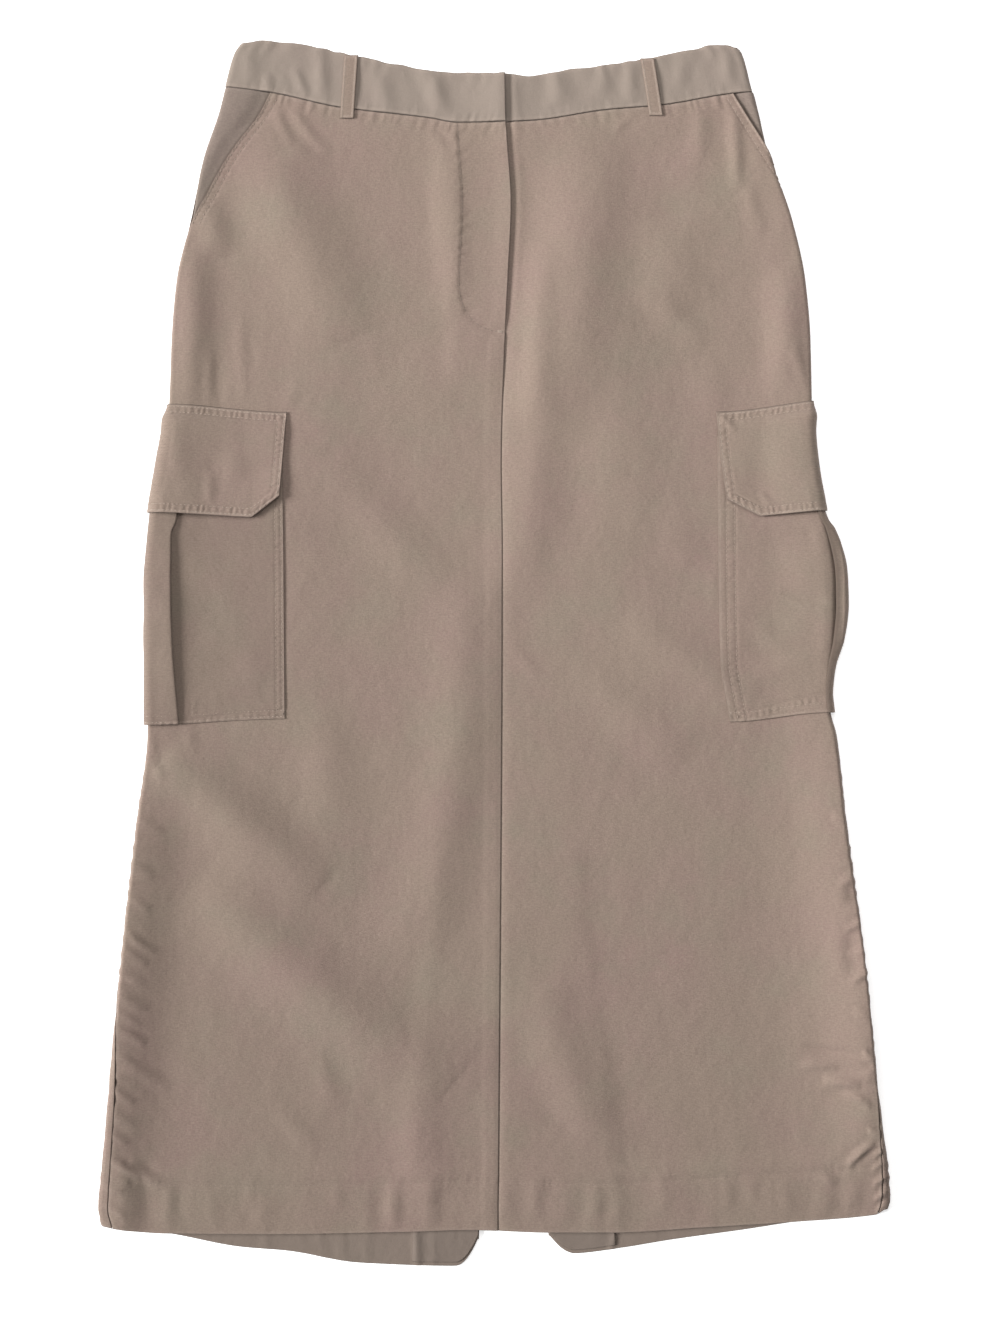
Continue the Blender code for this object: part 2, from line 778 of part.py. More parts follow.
def make_waistband_half(side: int, name: str):
    """Half of the band, from the centre front round the fold to the centre back.

    The right half ends in a thinner tab that lies under the left half.
    """

    def columns(down):
        edge = centre_front(down) - (LAP if side == RIGHT else 0.0)
        low = front_q(side, edge, down)
        high = back_q(side, centre_back(side, down), down)
        near, start = beside_lap(side, down)
        stations = SIDE_STATIONS[side]
        front = [blend(start, stations[0], share) for share in MIDDLE_SHARES]
        back = [blend(stations[-1], high, share) for share in MIDDLE_SHARES]
        return spread([*near, *front, *stations, *back], low, high)

    thirds = [Row(1, 0, 0), Row(0.67, 0.33, 0), Row(0.33, 0.67, 0), Row(0, 1, 0)]
    q, down, x = grid(side, thirds, band_top, lambda x: waist_seam(x) - WAIST_GAP / 2, columns)
    under = np.zeros_like(q)
    if side == RIGHT:
        under = np.where(q < 0, 1 - LAP_RISE.at(x - centre_front(down)), 0.0)
    outer = blend(BAND_PROUD, BAND_PROUD - BAND_WALL - GAP, under)
    wall = blend(BAND_WALL, TAB_WALL, under)
    return add_sheet(
        name, tube_point(side, q, down, outer), tube_point(side, q, down, outer - wall)
    )


def make_hip_facing(side: int, name: str):
    """The side of the hip that shows in the slanted opening, and runs on under the front."""

    def columns(down):
        opening = hip_opening(side, down)
        low = opening - FACING_UNDER
        high = side_seam[side](down) - SIDE_GAP / 2
        sides = [station for station in SIDE_STATIONS[side] if low.min() < station < high.max()]
        return spread(sides, low, high)

    rows = rows_between(0, FACING_END, HIP_ROWS[side])
    rows.insert(1, Row(0.5, 0, rows[1].add / 2))
    q, down, x = grid(
        side, rows, lambda x: waist_seam(x) + WAIST_GAP / 2, lambda x: FACING_END + 0.0 * x, columns
    )
    rise = FACING_RISE.at(q - hip_opening(side, down)) * (1 - FACING_CLOSE.at(down))
    outer = -(WALL + GAP) * (1 - rise)
    return add_sheet(
        name,
        tube_point(side, q, down, outer),
        tube_point(side, q, down, outer - WALL),
        FACING_COLOUR,
    )


def make_vent_facing(side: int, name: str):
    """The turned edge of the slit, on the inside of a back."""

    def columns(down):
        high = back_q(side, centre_back(side, down), down) - VENT_FACING_IN
        return spread(corner_columns(side, high), high - VENT_FACING_WIDTH, high)

    turn = HEM_DEPTH + HEM_STEP - VENT_FACING_ABOVE_HEM
    rows = rows_between(VENT_FACING_TOP, ROWS[-1] + 1.0)
    above = [Row(0, 1, -turn - step) for step in VENT_FACING_TURN]
    rows[-1:] = [*above, Row(0, 1, -turn / 2), Row(0, 1, 0)]
    q, down, x = grid(
        side,
        rows,
        lambda x: VENT_FACING_TOP + 0.0 * x,
        lambda x: back_hem[side](x) - VENT_FACING_ABOVE_HEM,
        columns,
    )
    down[-1] -= corner_rise(side, x[-1], down[-1])
    outer = -by_hem(down, WALL, HEM_WALL) - GAP
    return add_sheet(
        name,
        tube_point(side, q, down, outer),
        tube_point(side, q, down, outer - VENT_FACING_WALL),
        FACING_COLOUR,
    )


class Loop(NamedTuple):
    """A belt loop, from the band's top edge to just below the waist seam."""

    name: str
    side: int
    face: int  # -1 on the front, 1 on the back
    top_x: float
    bottom_x: float


LOOPS = (
    Loop("belt_loop_front_left", LEFT, -1, -108.2, -111.5),
    Loop("belt_loop_front_right", RIGHT, -1, 116.5, 123.3),
    Loop("belt_loop_back_left", LEFT, 1, -112.0, -114.0),
    Loop("belt_loop_back_middle", LEFT, 1, 7.0, 7.0),
    Loop("belt_loop_back_right", RIGHT, 1, 118.0, 120.0),
)


def make_belt_loop(loop: Loop):
    """A strip that lies on the band and the panel below it."""
    shares = np.array([0.0, 0.3, 0.65, 1.0])[:, None]
    middle = blend(loop.top_x, loop.bottom_x, shares)
    x = middle + LOOP_WIDTH * np.array([-0.5, 0.0, 0.5])[None, :]
    down = blend(band_top(middle) + 0.5, waist_seam(middle) + LOOP_BELOW_SEAM, shares)
    down = np.broadcast_to(down, x.shape)
    q = loop.face * back_q(loop.side, x, down)
    near = BAND_PROUD + GAP
    return add_sheet(
        loop.name,
        tube_point(loop.side, q, down, near + LOOP_WALL),
        tube_point(loop.side, q, down, near),
    )


# Cargo pockets


def strip_front(cargo: Cargo) -> float:
    """q of the pleat's front fold."""
    return cargo.centre_q - STRIP_HALF


def come_down(q):
    """1 on the front and 0 on the back: the pleat is three layers thick only on the front."""
    return 1 - PLEAT_END.at(q)


def pocket_envelope(cargo: Cargo, q):
    """How far out a flattened pocket reaches at q."""
    pleat = PLEAT_STEP.at(q - strip_front(cargo)) * come_down(q)
    return LAYER_PITCH * (1 + 2 * pleat)


def half_turn(centre_q, centre_out, start: float, end: float):
    """Points round the edge of a fold in the cloth, from one angle to another, in degrees."""
    angles = np.radians(np.linspace(start, end, HALF_TURN_POINTS))
    radius = LAYER_PITCH / 2
    return [(centre_q + radius * math.cos(a), centre_out + radius * math.sin(a)) for a in angles]


def pleated_path(cargo: Cargo, down):
    """The pocket's section as a line: q, out and sideways shift of each point, rows by points.

    It runs from the front edge under the strip, turns back, turns again at the strip's edge, and
    goes over the strip and round the fold to the rear edge.
    """
    side = cargo.side
    height = (down - FLAP_ROWS[1]) / (cargo.pocket_bottom_front - FLAP_ROWS[1])
    rise = cargo.strip_rise * np.sin(math.pi * np.clip(height, 0, 1)) ** STRIP_RISE_POWER
    front = front_q(side, column(cargo.front_edge, "down", "place")(down), down)
    rear = cargo.centre_q + POCKET_HALF + 0.0 * down
    fold = strip_front(cargo)
    turn_in = fold + cargo.underfold
    radius = LAYER_PITCH / 2
    low = LAYER_PITCH - POCKET_WALL / 2
    high = low + 2 * LAYER_PITCH

    stations = [station for station in CARGO_STATIONS[side] if station > POCKET_INNER_Q]
    points = [(blend(front, stations[0], share), low) for share in (0.0, 0.5)]
    under = [station for station in stations if station < turn_in - radius - HALF_TURN_CLEAR]
    points += [(station, low) for station in under]
    points += half_turn(turn_in - radius, low + radius, -90, 90)
    points += half_turn(fold + radius, rise + high - radius, -90, -270)
    strip = [station for station in stations[:-1] if station > fold + radius + HALF_TURN_CLEAR]
    for station in strip:
        raised = rise * (1 - STRIP_RISE_FADE.at(station - fold))
        points.append((station, low + (2 * LAYER_PITCH + raised) * come_down(station)))
    points += [(rear, low)]

    q = np.stack([np.broadcast_to(point[0], down.shape) for point in points], axis=-1)
    out = np.stack([np.broadcast_to(point[1], down.shape) for point in points], axis=-1)
    on_strip = np.arange(len(points)) >= len(points) - 1 - len(strip) - HALF_TURN_POINTS
    bulge = column(cargo.bulge, "down", "place")(down)[..., None]
    wave = np.sin(math.pi * np.clip((q - fold) / BULGE_WIDTH, 0, 1))
    return q, out, np.where(on_strip, bulge * wave, 0.0)


def make_cargo_pocket(cargo: Cargo):
    """A pocket with a box pleat, on the front panel and round the fold onto the back."""
    side = cargo.side
    bottom = cargo.pocket_bottom_front
    between = [at for at in ROWS if POCKET_ROWS[0] <= at < bottom - POCKET_LAST_ROW]
    down = np.array([*between, bottom])
    q, out, aside = pleated_path(cargo, down)
    edge = front_q(side, column(cargo.front_edge, "down", "place")(down), down)[:, None]
    to_fold = ease((q - edge) / -edge)
    tilted = down[:, None] + 0.0 * q
    tilted[-1] += to_fold[-1] * (cargo.pocket_bottom_fold - bottom)
    # The wall stands square to the line, half to each side of it.
    run = np.gradient(q, axis=1)
    climb = np.gradient(out, axis=1)
    length = np.hypot(run, climb)
    half = POCKET_WALL / 2 / length
    outer = tube_point(side, q - climb * half, tilted, out + run * half, aside)
    inner = tube_point(side, q + climb * half, tilted, out - run * half, aside)
    return add_sheet(f"cargo_pocket_{cargo.name}", outer, inner)


def make_cargo_flap(cargo: Cargo):
    """A flap over the pocket's top, with both lower corners cut off."""
    side = cargo.side
    edge = column(cargo.flap_edge, "down", "place")
    rear = cargo.centre_q + POCKET_HALF + FLAP_OVER
    fold = strip_front(cargo)

    def columns(down):
        low = front_q(side, edge(down), down)
        high = rear + 0.0 * down
        cut = [low + cargo.corner_cut * share for share in (0.5, 1.0)]
        climb = fold + PLEAT_STEP.start
        near = [at for at in CARGO_STATIONS[side] if climb - cargo.corner_cut < at < FLAP_REAR_Q]
        pleat = [at for at in (climb, fold + GAP) if min(abs(at - s) for s in near) > PINCH]
        back = [high - cargo.corner_cut * share for share in (1.0, 0.5)]
        return spread([*cut, *sorted([*pleat, *near]), *back], low, high)

    count = columns(np.zeros((1, 1))).shape[-1]
    top_rows = np.array(FLAP_TOP_ROWS)[:, None]
    first = cargo.flap_top_front + FLAP_TOP_ROWS[-1]
    fixed = np.array([at for at in ROWS if first < at < cargo.flap_bottom_fold])[:, None]
    down = np.full((len(top_rows) + len(fixed) + 1, count), cargo.flap_top_front)
    for _ in range(4):
        q = every_column(columns, down)
        low, high = q[:, :1], q[:, -1:]
        to_fold = ease((q - low) / (cargo.centre_q - low)) * ease((high - q) / (high - cargo.centre_q))
        start = blend(cargo.flap_top_front, cargo.flap_top_fold, to_fold)
        end = blend(cargo.flap_bottom_front, cargo.flap_bottom_fold, to_fold)
        from_edge = np.minimum(q - low, high - q)
        cut = cargo.flap_bottom_front - cargo.flap_side_bottom
        end = end - cut * np.clip(1 - from_edge / cargo.corner_cut, 0, 1)
        middle = np.broadcast_to(fixed, (len(fixed), count))
        down = np.concatenate([start[: len(top_rows)] + top_rows, middle, end[-1:]])
    covered = FLAP_CLIMB.at(down - start)
    inner = GAP + (pocket_envelope(cargo, q) + PLEAT_ROOM * come_down(q)) * covered
    return add_sheet(
        f"cargo_flap_{cargo.name}",
        tube_point(side, q, down, inner + FLAP_WALL),
        tube_point(side, q, down, inner),
    )


def main():
    for obj in list(bpy.data.objects):
        bpy.data.objects.remove(obj, do_unlink=True)
    bpy.context.scene.unit_settings.system = "METRIC"
    for side, word in ((LEFT, "left"), (RIGHT, "right")):
        make_front_panel(side, f"front_panel_{word}")
        make_back_panel(side, f"back_panel_{word}")
        make_waistband_half(side, f"waistband_{word}")
        make_hip_facing(side, f"hip_facing_{word}")
        make_vent_facing(side, f"vent_facing_{word}")
    for loop in LOOPS:
        make_belt_loop(loop)
    for cargo in CARGO:
        make_cargo_pocket(cargo)
        make_cargo_flap(cargo)


main()
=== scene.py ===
"""Cargo utility skirt, laid flat on its back: its cloth, creases, sewing, finishes, light and camera.

The skirt is a flattened tube of cloth. A place on it is given in mm by
    side   the half of the skirt that it belongs to, as seen from the front,
    q      the distance round the fold on that side: 0 on the fold's outermost line, negative on the
           front, positive on the back,
    down   the distance below the top of the waistband, and
    out    how far it lies outside the tube's outer face.
Each piece of cloth is a sheet of such places with a wall. Creases are added to the tube itself, so
whatever lies on a panel follows its creases.
"""

import logging
import math
from dataclasses import dataclass, field
from enum import Enum, IntEnum
from typing import NamedTuple

import bpy
import numpy as np
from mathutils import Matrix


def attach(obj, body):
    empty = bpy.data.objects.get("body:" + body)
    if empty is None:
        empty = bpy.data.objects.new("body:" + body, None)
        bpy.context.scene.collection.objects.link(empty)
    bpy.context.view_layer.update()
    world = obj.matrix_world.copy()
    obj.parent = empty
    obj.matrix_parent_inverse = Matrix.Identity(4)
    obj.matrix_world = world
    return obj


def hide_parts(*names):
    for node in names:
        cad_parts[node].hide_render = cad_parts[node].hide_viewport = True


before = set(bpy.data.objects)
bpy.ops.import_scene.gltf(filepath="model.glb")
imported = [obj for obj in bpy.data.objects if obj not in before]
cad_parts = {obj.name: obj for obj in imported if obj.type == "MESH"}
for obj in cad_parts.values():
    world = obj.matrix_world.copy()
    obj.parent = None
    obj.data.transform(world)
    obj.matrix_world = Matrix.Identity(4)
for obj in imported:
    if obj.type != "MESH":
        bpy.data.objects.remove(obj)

LOG = logging.getLogger("skirt")
MM = 0.001
ROOT = "root"
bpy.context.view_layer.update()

Array = np.ndarray


class Side(IntEnum):
    """Half of the skirt, as seen from the front. The value is the way outwards along X."""

    LEFT = -1
    RIGHT = 1

    @property
    def word(self) -> str:
        """The side's name in the names of pieces."""
        return self.name.lower()


class Slot(Enum):
    """The record's material slots."""

    CLOTH = "cloth"
    INNER_CLOTH = "inner_cloth"


# Curves and fades


def ease(t: Array) -> Array:
    """0 below t = 0, 1 above t = 1, and a smooth step between: 3 t^2 - 2 t^3."""
    t = np.clip(t, 0.0, 1.0)
    return t * t * (3 - 2 * t)


def blend(start: Array, end: Array, share: Array) -> Array:
    """start at share 0, end at share 1, and a straight line between."""
    return start + (end - start) * share


@dataclass(frozen=True)
class Fade:
    """A smooth step from 0 to 1: the distance at which it starts, and how far it takes."""

    start: float
    length: float

    def at(self, distance: Array) -> Array:
        """The step's height at a distance."""
        return ease((distance - self.start) / self.length)


class Curve:
    """A smooth curve through knots that never overshoots them.

    Between two knots it is a cubic. Its slope at a knot is the harmonic mean of the slopes on both
    sides, or 0 where they have opposite signs.
    """

    def __init__(self, *knots: tuple[float, float]) -> None:
        """Args: knots: (position, value) of each knot, in order."""
        self.at, self.value = np.array(knots, float).T
        self.step = np.diff(self.at)
        rise = np.diff(self.value) / self.step
        together = rise[:-1] * rise[1:]
        total = np.where(together > 0, rise[:-1] + rise[1:], 1.0)
        inner = np.where(together > 0, 2 * together / total, 0.0)
        self.slope = np.concatenate([rise[:1], inner, rise[-1:]])

    def __call__(self, x: Array) -> Array:
        """The curve's values at x."""
        x = np.clip(x, self.at[0], self.at[-1])
        k = np.clip(np.searchsorted(self.at, x) - 1, 0, len(self.step) - 1)
        t = (x - self.at[k]) / self.step[k]
        step = self.step[k]
        start = (1 + 2 * t) * (1 - t) ** 2 * self.value[k] + t * (1 - t) ** 2 * step * self.slope[k]
        end = t**2 * (3 - 2 * t) * self.value[k + 1] - t**2 * (1 - t) * step * self.slope[k + 1]
        return start + end


# Creases and puckers

# The trough beside a crest: its share of the crest's height, its greatest depth in mm, and its distance
# from the crest's line in widths
TROUGH_SHARE = 0.25
TROUGH_DEEPEST = 0.6
TROUGH_PLACE = 1.8


def blunt_arch(t: Array) -> Array:
    """0 at both ends of a run, where t is 0 and 1, and a blunt arch between: sin(pi t)^0.7."""
    return np.sin(math.pi * np.clip(t, 0.0, 1.0)) ** 0.7


class Crease(NamedTuple):
    """A soft ridge, or a trough if its height is negative, from one point to another.

    bend moves its middle sideways, so that it runs in an arc.
    """

    x1: float
    down1: float
    x2: float
    down2: float
    width: float
    height: float
    bend: float = 0.0

    @property
    def run(self) -> tuple[float, float, float]:
        """How far it runs in x and down, and its length."""
        run_x, run_down = self.x2 - self.x1, self.down2 - self.down1
        return run_x, run_down, math.hypot(run_x, run_down)

    def share(self, x: Array, down: Array) -> Array:
        """How far along it a place lies, in shares of its length."""
        run_x, run_down, length = self.run
        return ((x - self.x1) * run_x + (down - self.down1) * run_down) / length**2

    def at(self, x: Array, down: Array) -> Array:
        """Height of the crease.

        Across it: exp(-a^2) - trough exp(-(|a| - 1.8)^2), with a the distance from its line in widths,
        so a crest has a shallow trough beside it: a quarter of its height, and 0.6 mm at most. Along
        it: a blunt arch.

        Args:
            x: across the skirt.
            down: below the waistband's top.

        Returns:
            The height at each place.
        """
        run_x, run_down, length = self.run
        t = np.clip(self.share(x, down), 0.0, 1.0)
        arc = 4 * self.bend * t * (1 - t)
        near_x = self.x1 + run_x * t - run_down / length * arc
        near_down = self.down1 + run_down * t + run_x / length * arc
        a = np.hypot(x - near_x, down - near_down) / self.width
        trough = min(TROUGH_SHARE, TROUGH_DEEPEST / abs(self.height))
        across = np.exp(-(a**2)) - trough * np.exp(-((a - TROUGH_PLACE) ** 2))
        return self.height * across * blunt_arch(t)

    def swell(self, x: Array, down: Array) -> Array:
        """Height of a broad fold: (1 - a^2)^2 across it, with a the distance in widths, and soft ends."""
        run_x, run_down, length = self.run
        run = self.share(x, down)
        across = ((x - self.x1) * run_down - (down - self.down1) * run_x) / length / self.width
        crest = np.clip(1 - across**2, 0, None) ** 2
        end = Fade(-0.125, 0.25)
        return self.height * crest * end.at(run) * end.at(1 - run)


def crease_heights(creases: tuple[Crease, ...], x: Array, down: Array) -> Array:
    """Height of a whole table of creases."""
    return sum((crease.at(x, down) for crease in creases), 0.0 * x)


@dataclass(frozen=True)
class Pucker:
    """Small waves that a row of stitches draws into cloth.

    wave is their mean length, depth their mean height, and phase tells one row from another. They
    are highest at "peak" mm from the line, and fade over "reach" mm on each side of that. uneven is
    how much their length varies.
    """

    wave: float
    depth: float
    peak: float
    reach: float
    phase: float
    uneven: float = 1.0

    def at(self, along: Array, distance: Array) -> Array:
        """Height of the waves.

        sin(turn) with a turn that runs unevenly along the row, times a slowly changing strength.

        Args:
            along: distance along the row.
            distance: distance from the row.

        Returns:
            The height at each place.
        """
        s = 2 * math.pi * along / self.wave
        wander = 1.9 * np.sin(s / 5.3 + self.phase) + 1.1 * np.sin(s / 2.7 + 2 * self.phase)
        turn = s + self.uneven * wander
        strength = 0.6 + 0.4 * np.sin(s / 7.1 + 3 * self.phase) * np.sin(s / 3.3 - self.phase)
        return self.depth * np.sin(turn) * strength * (1 - ease(np.abs(distance - self.peak) / self.reach))


def groove(distance: Array, width: float) -> Array:
    """A rounded trough of depth 1 along a line: exp(-(distance / width)^2)."""
    return np.exp(-((distance / width) ** 2))


# Folds of the front that the solids share
RIDGES = (
    Crease(-245, 545, -120, 650, 48, 1.6),
    Crease(-215, 640, -25, 790, 55, 1.5),
    Crease(-25, 425, -60, 680, 46, 1.1),
    Crease(-135, 80, -122, 260, 50, 1.2),
    Crease(75, 75, 42, 290, 40, 1.5),
    Crease(28, 720, 82, 815, 40, 1.1),
    Crease(60, 400, 180, 520, 60, 0.9),
)
# Their crests, and the sides of the skirt that stand up
BROAD_FOLDS = (
    Crease(-252, 546, -128, 640, 21, 7.2, 3),
    Crease(-222, 636, -30, 792, 26, 6.8, 12),
    Crease(-24, 400, -72, 720, 20, 2.8, -18),
    Crease(-184, 62, -108, 226, 28, 6.8, 3),
    Crease(-36, 58, -30, 214, 12, 3.0),
    Crease(78, 66, 46, 300, 30, 5.6, 3),
    Crease(36, 150, 30, 290, 12, 3.2),
    Crease(34, 236, 18, 425, 20, 4.0, -4),
    Crease(104, 90, 64, 430, 44, 4.2),
    Crease(38, 716, 92, 848, 16, 1.9, 9),
    Crease(-128, 318, -40, 415, 17, 2.6),
    Crease(100, 440, 200, 500, 14, 2.0),
    Crease(58, 478, 150, 545, 16, 2.0),
    Crease(264, 500, 290, 885, 39, 11.0, -3),
    Crease(276, 640, 289, 840, 14, 2.2, -2),
    Crease(-268, 540, -294, 905, 27, 5.6, 2),
    Crease(-282, 848, -281, 915, 9, 2.6),
    Crease(-226, 150, -231, 285, 12, 3.4),
    Crease(221, 168, 223, 272, 13, 3.4),
)
# Soft folds between them
SOFT_FOLDS = (
    Crease(-154, 48, -124, 86, 4, 1.2, 3),
    Crease(-167, 48, -153, 80, 3.5, 0.9, 1),
    Crease(-157, 84, -127, 90, 6, 0.7),
    Crease(-62, 85, -56, 200, 16, -0.8),
    Crease(-46, 60, -31, 84, 3.5, -0.7),
    Crease(-220, 120, -206, 164, 11, 3.0),
    Crease(-192, 200, -191, 274, 4.5, 0.9, 1),
    Crease(-216, 232, -216, 278, 4, 0.9),
    Crease(-202, 246, -201, 278, 4, 0.6),
    Crease(-160, 276, -146, 256, 5, 0.7),
    Crease(-52, 228, -130, 276, 14, -0.7),
    Crease(-128, 500, -118, 620, 18, 2.0, 4),
    Crease(-136, 764, -120, 814, 8, 1.3),
    Crease(-168, 808, -132, 846, 8, 1.2),
    Crease(-66, 792, -48, 884, 20, 2.2),
    Crease(158, 50, 156, 94, 7, 1.2),
    Crease(181, 48, 185, 114, 5, 1.7, -1),
    Crease(192, 104, 202, 150, 6, 1.0),
    Crease(136, 132, 142, 208, 22, 2.8),
    Crease(112, 186, 162, 230, 10, 1.7),
    Crease(227, 230, 238, 264, 4, 1.0),
    Crease(166, 238, 164, 286, 12, 1.0),
    Crease(134, 355, 152, 402, 12, 1.0),
    Crease(12, 462, 36, 484, 4, 1.0),
    Crease(30, 812, 66, 830, 5, -0.6),
    Crease(90, 70, 107, 54, 3, 0.8),
    Crease(144, 56, 172, 47, 3, 0.6),
    Crease(-152, 417, -138, 404, 2.5, 0.5),
    Crease(-157, 415, -138, 434, 3, 0.5),
    Crease(168, 398, 168, 428, 2.5, 0.5, 2),
    Crease(70, 854, 96, 858, 3, -0.5),
)
# Short upright creases in the front's turned hem
HEM_CREASES = (
    Crease(-246, 866, -247, 902, 4, 0.9),
    Crease(-214, 868, -213, 905, 4, 0.6),
    Crease(-185, 864, -186, 892, 3.5, 0.9),
    Crease(-178, 868, -176, 908, 5, 0.6),
    Crease(-119, 864, -119, 890, 3.5, 0.8),
    Crease(-76, 860, -76, 906, 6, 1.1),
    Crease(-48, 860, -48, 902, 5, 1.1),
    Crease(31, 862, 32, 897, 6, 0.9),
    Crease(128, 860, 128, 892, 6, 0.7),
    Crease(178, 860, 179, 887, 3, 0.8),
    Crease(196, 862, 196, 884, 4, 0.6),
    Crease(222, 862, 224, 892, 4, 0.5),
)
# Short creases beside the side seams
SIDE_CREASES = (
    Crease(-262, 530, -256, 541, 3.0, 0.6),
    Crease(-233, 524, -226, 538, 4.0, 0.5, 1),
    Crease(-262, 548, -250, 562, 4.0, 0.7, -1),
    Crease(-270, 592, -250, 600, 4.0, 0.7, 1),
    Crease(-278, 625, -258, 636, 4.2, 0.7, -1),
    Crease(-277, 650, -260, 661, 3.2, 0.6),
    Crease(-278, 677, -256, 692, 3.0, 1.2, 2),
    Crease(-281, 690, -262, 701, 3.4, 0.8),
    Crease(-283, 706, -264, 716, 3.0, 0.6, 1),
    Crease(-286, 722, -262, 735, 4.0, 0.9, 2),
    Crease(-288, 738, -268, 748, 3.0, 0.7, -1),
    Crease(-288, 750, -264, 762, 3.2, 1.0, -1),
    Crease(-290, 768, -270, 778, 3.0, 0.6),
    Crease(-282, 779, -246, 797, 4.6, 0.9, -2),
    Crease(-292, 794, -272, 806, 3.0, 1.0, 1),
    Crease(-293, 812, -272, 822, 3.2, 0.7, 1),
    Crease(-295, 828, -277, 837, 3.0, 0.9),
    Crease(-297, 848, -268, 865, 3.2, 1.5, -2),
    Crease(-277, 850, -250, 871, 3.8, 1.1, 2),
    Crease(-299, 868, -280, 874, 2.8, 0.8, 1),
    Crease(-296, 884, -278, 893, 3.0, 0.7),
    Crease(256, 588, 268, 592, 4.0, 0.6),
    Crease(261, 640, 274, 633, 3.2, 0.6),
    Crease(272, 640, 273, 656, 6.0, -0.9),
    Crease(265, 675, 279, 667, 2.4, 0.8, 1),
    Crease(272, 668, 274, 712, 6.0, -0.9, 2),
    Crease(267, 693, 283, 688, 2.8, 0.6, 1),
    Crease(270, 714, 286, 706, 2.8, 0.7, -1),
    Crease(272, 735, 288, 741, 3.4, 0.6, 1),
    Crease(236, 763, 280, 770, 2.6, -0.8, 1),
    Crease(279, 766, 290, 773, 2.6, 1.0, 1),
    Crease(233, 778, 262, 780, 4.0, 0.9, -1),
    Crease(281, 783, 293, 779, 2.8, 0.6),
    Crease(250, 790, 278, 793, 4.5, 1.3, -1),
    Crease(265, 799, 286, 808, 2.8, 1.0, -1),
    Crease(283, 826, 296, 830, 2.6, 0.7, 1),
    Crease(268, 855, 289, 836, 2.8, 1.2, -1),
    Crease(288, 846, 297, 842, 1.8, 0.8),
    Crease(287, 856, 298, 851, 1.8, 0.8),
    Crease(288, 868, 299, 862, 2.0, 0.9),
    Crease(247, 860, 262, 868, 4.0, 0.5, 1),
    Crease(289, 880, 299, 874, 2.0, 0.8),
    Crease(290, 889, 299, 884, 2.0, 0.6),
)
# Creases of the waistband, which its stiffer cloth keeps short and steep
BAND_CREASES = (
    Crease(-186, 6, -184, 34, 7.0, 1.2),
    Crease(-172, 24, -171, 43, 3.5, 1.2),
    Crease(-152, 20, -142, 43, 3.2, 1.2),
    Crease(-131, 4, -130, 50, 5.0, 1.6),
    Crease(-88, 22, -79, 58, 7.0, 1.6),
    Crease(-49, 20, -38, 57, 6.5, 2.3),
    Crease(3, 20, 4, 66, 15.0, 2.3),
    Crease(49, 22, 50, 50, 7.0, 1.6),
    Crease(84, 18, 80, 44, 6.0, 0.9, -1),
    Crease(103, 14, 105, 48, 5.0, 1.4),
    Crease(146, 12, 140, 38, 6.0, 1.0, 1),
    Crease(176, 8, 180, 36, 5.0, 1.1),
)
# Creases of the cargo pockets and of their flaps
CARGO_CREASES = (
    Crease(-240, 284, -240, 336, 8, 1.0),
    Crease(-215, 326, -215, 354, 4, 0.7),
    Crease(-198, 310, -196, 336, 8, 0.6),
    Crease(-188, 362, -166, 344, 3, 0.4),
    Crease(-259, 396, -259, 426, 5, 0.6),
    Crease(-259, 438, -259, 464, 5, 0.6),
    Crease(-236, 392, -190, 420, 12, 0.5, 3),
    Crease(-226, 452, -180, 470, 10, 0.45, -3),
    Crease(-204, 500, -176, 470, 9, 0.35, 2),
    Crease(-231, 496, -234, 510, 1.6, 0.4),
    Crease(-227, 496, -229, 510, 1.6, 0.4),
    Crease(172, 284, 184, 297, 3, 0.9),
    Crease(206, 300, 236, 326, 10, 0.5, 3),
    Crease(202, 343, 210, 353, 2.5, 0.5),
    Crease(236, 376, 240, 424, 16, 1.3),
    Crease(218, 419, 252, 427, 3, -0.9),
    Crease(196, 442, 224, 466, 7, 0.8),
    Crease(190, 486, 240, 476, 8, 0.5, -2),
)
# Ridges of the back's inner face. The underside is pressed flat by what it lies on, so they all rise
# into the tube.
BACK_FOLDS = (
    Crease(-210, 130, -150, 330, 30, 0.7, 10),
    Crease(-70, 200, -110, 420, 26, 0.6, -8),
    Crease(90, 150, 130, 360, 28, 0.7, 8),
    Crease(200, 260, 160, 420, 22, 0.5, 6),
    Crease(-230, 560, -120, 690, 30, 0.8, -10),
    Crease(-160, 700, -90, 860, 26, 0.7, 8),
    Crease(120, 560, 210, 700, 30, 0.8, 10),
    Crease(250, 640, 200, 840, 24, 0.6, -8),
    Crease(60, 480, 40, 620, 22, 0.5, 4),
    Crease(-288, 800, -262, 812, 5, 0.6, 2),
    Crease(-276, 690, -250, 700, 5, 0.5, -2),
    Crease(284, 760, 262, 772, 5, 0.5, 2),
    Crease(290, 850, 262, 862, 5, 0.6, -2),
    Crease(268, 600, 240, 610, 6, 0.5, 2),
    Crease(-258, 560, -236, 566, 6, 0.4, -1),
    Crease(-174, 898, -173, 924, 2.6, 0.8),
    Crease(-132, 899, -131, 929, 2.6, 0.9),
    Crease(-117, 900, -116, 931, 2.4, 0.8),
    Crease(-97, 900, -96, 934, 2.6, 0.9),
    Crease(-59, 898, -58, 938, 3.2, 1.4),
    Crease(-46, 902, -45, 936, 2.4, 0.6),
    Crease(94, 900, 88, 926, 2.6, 0.9),
)


# The tube


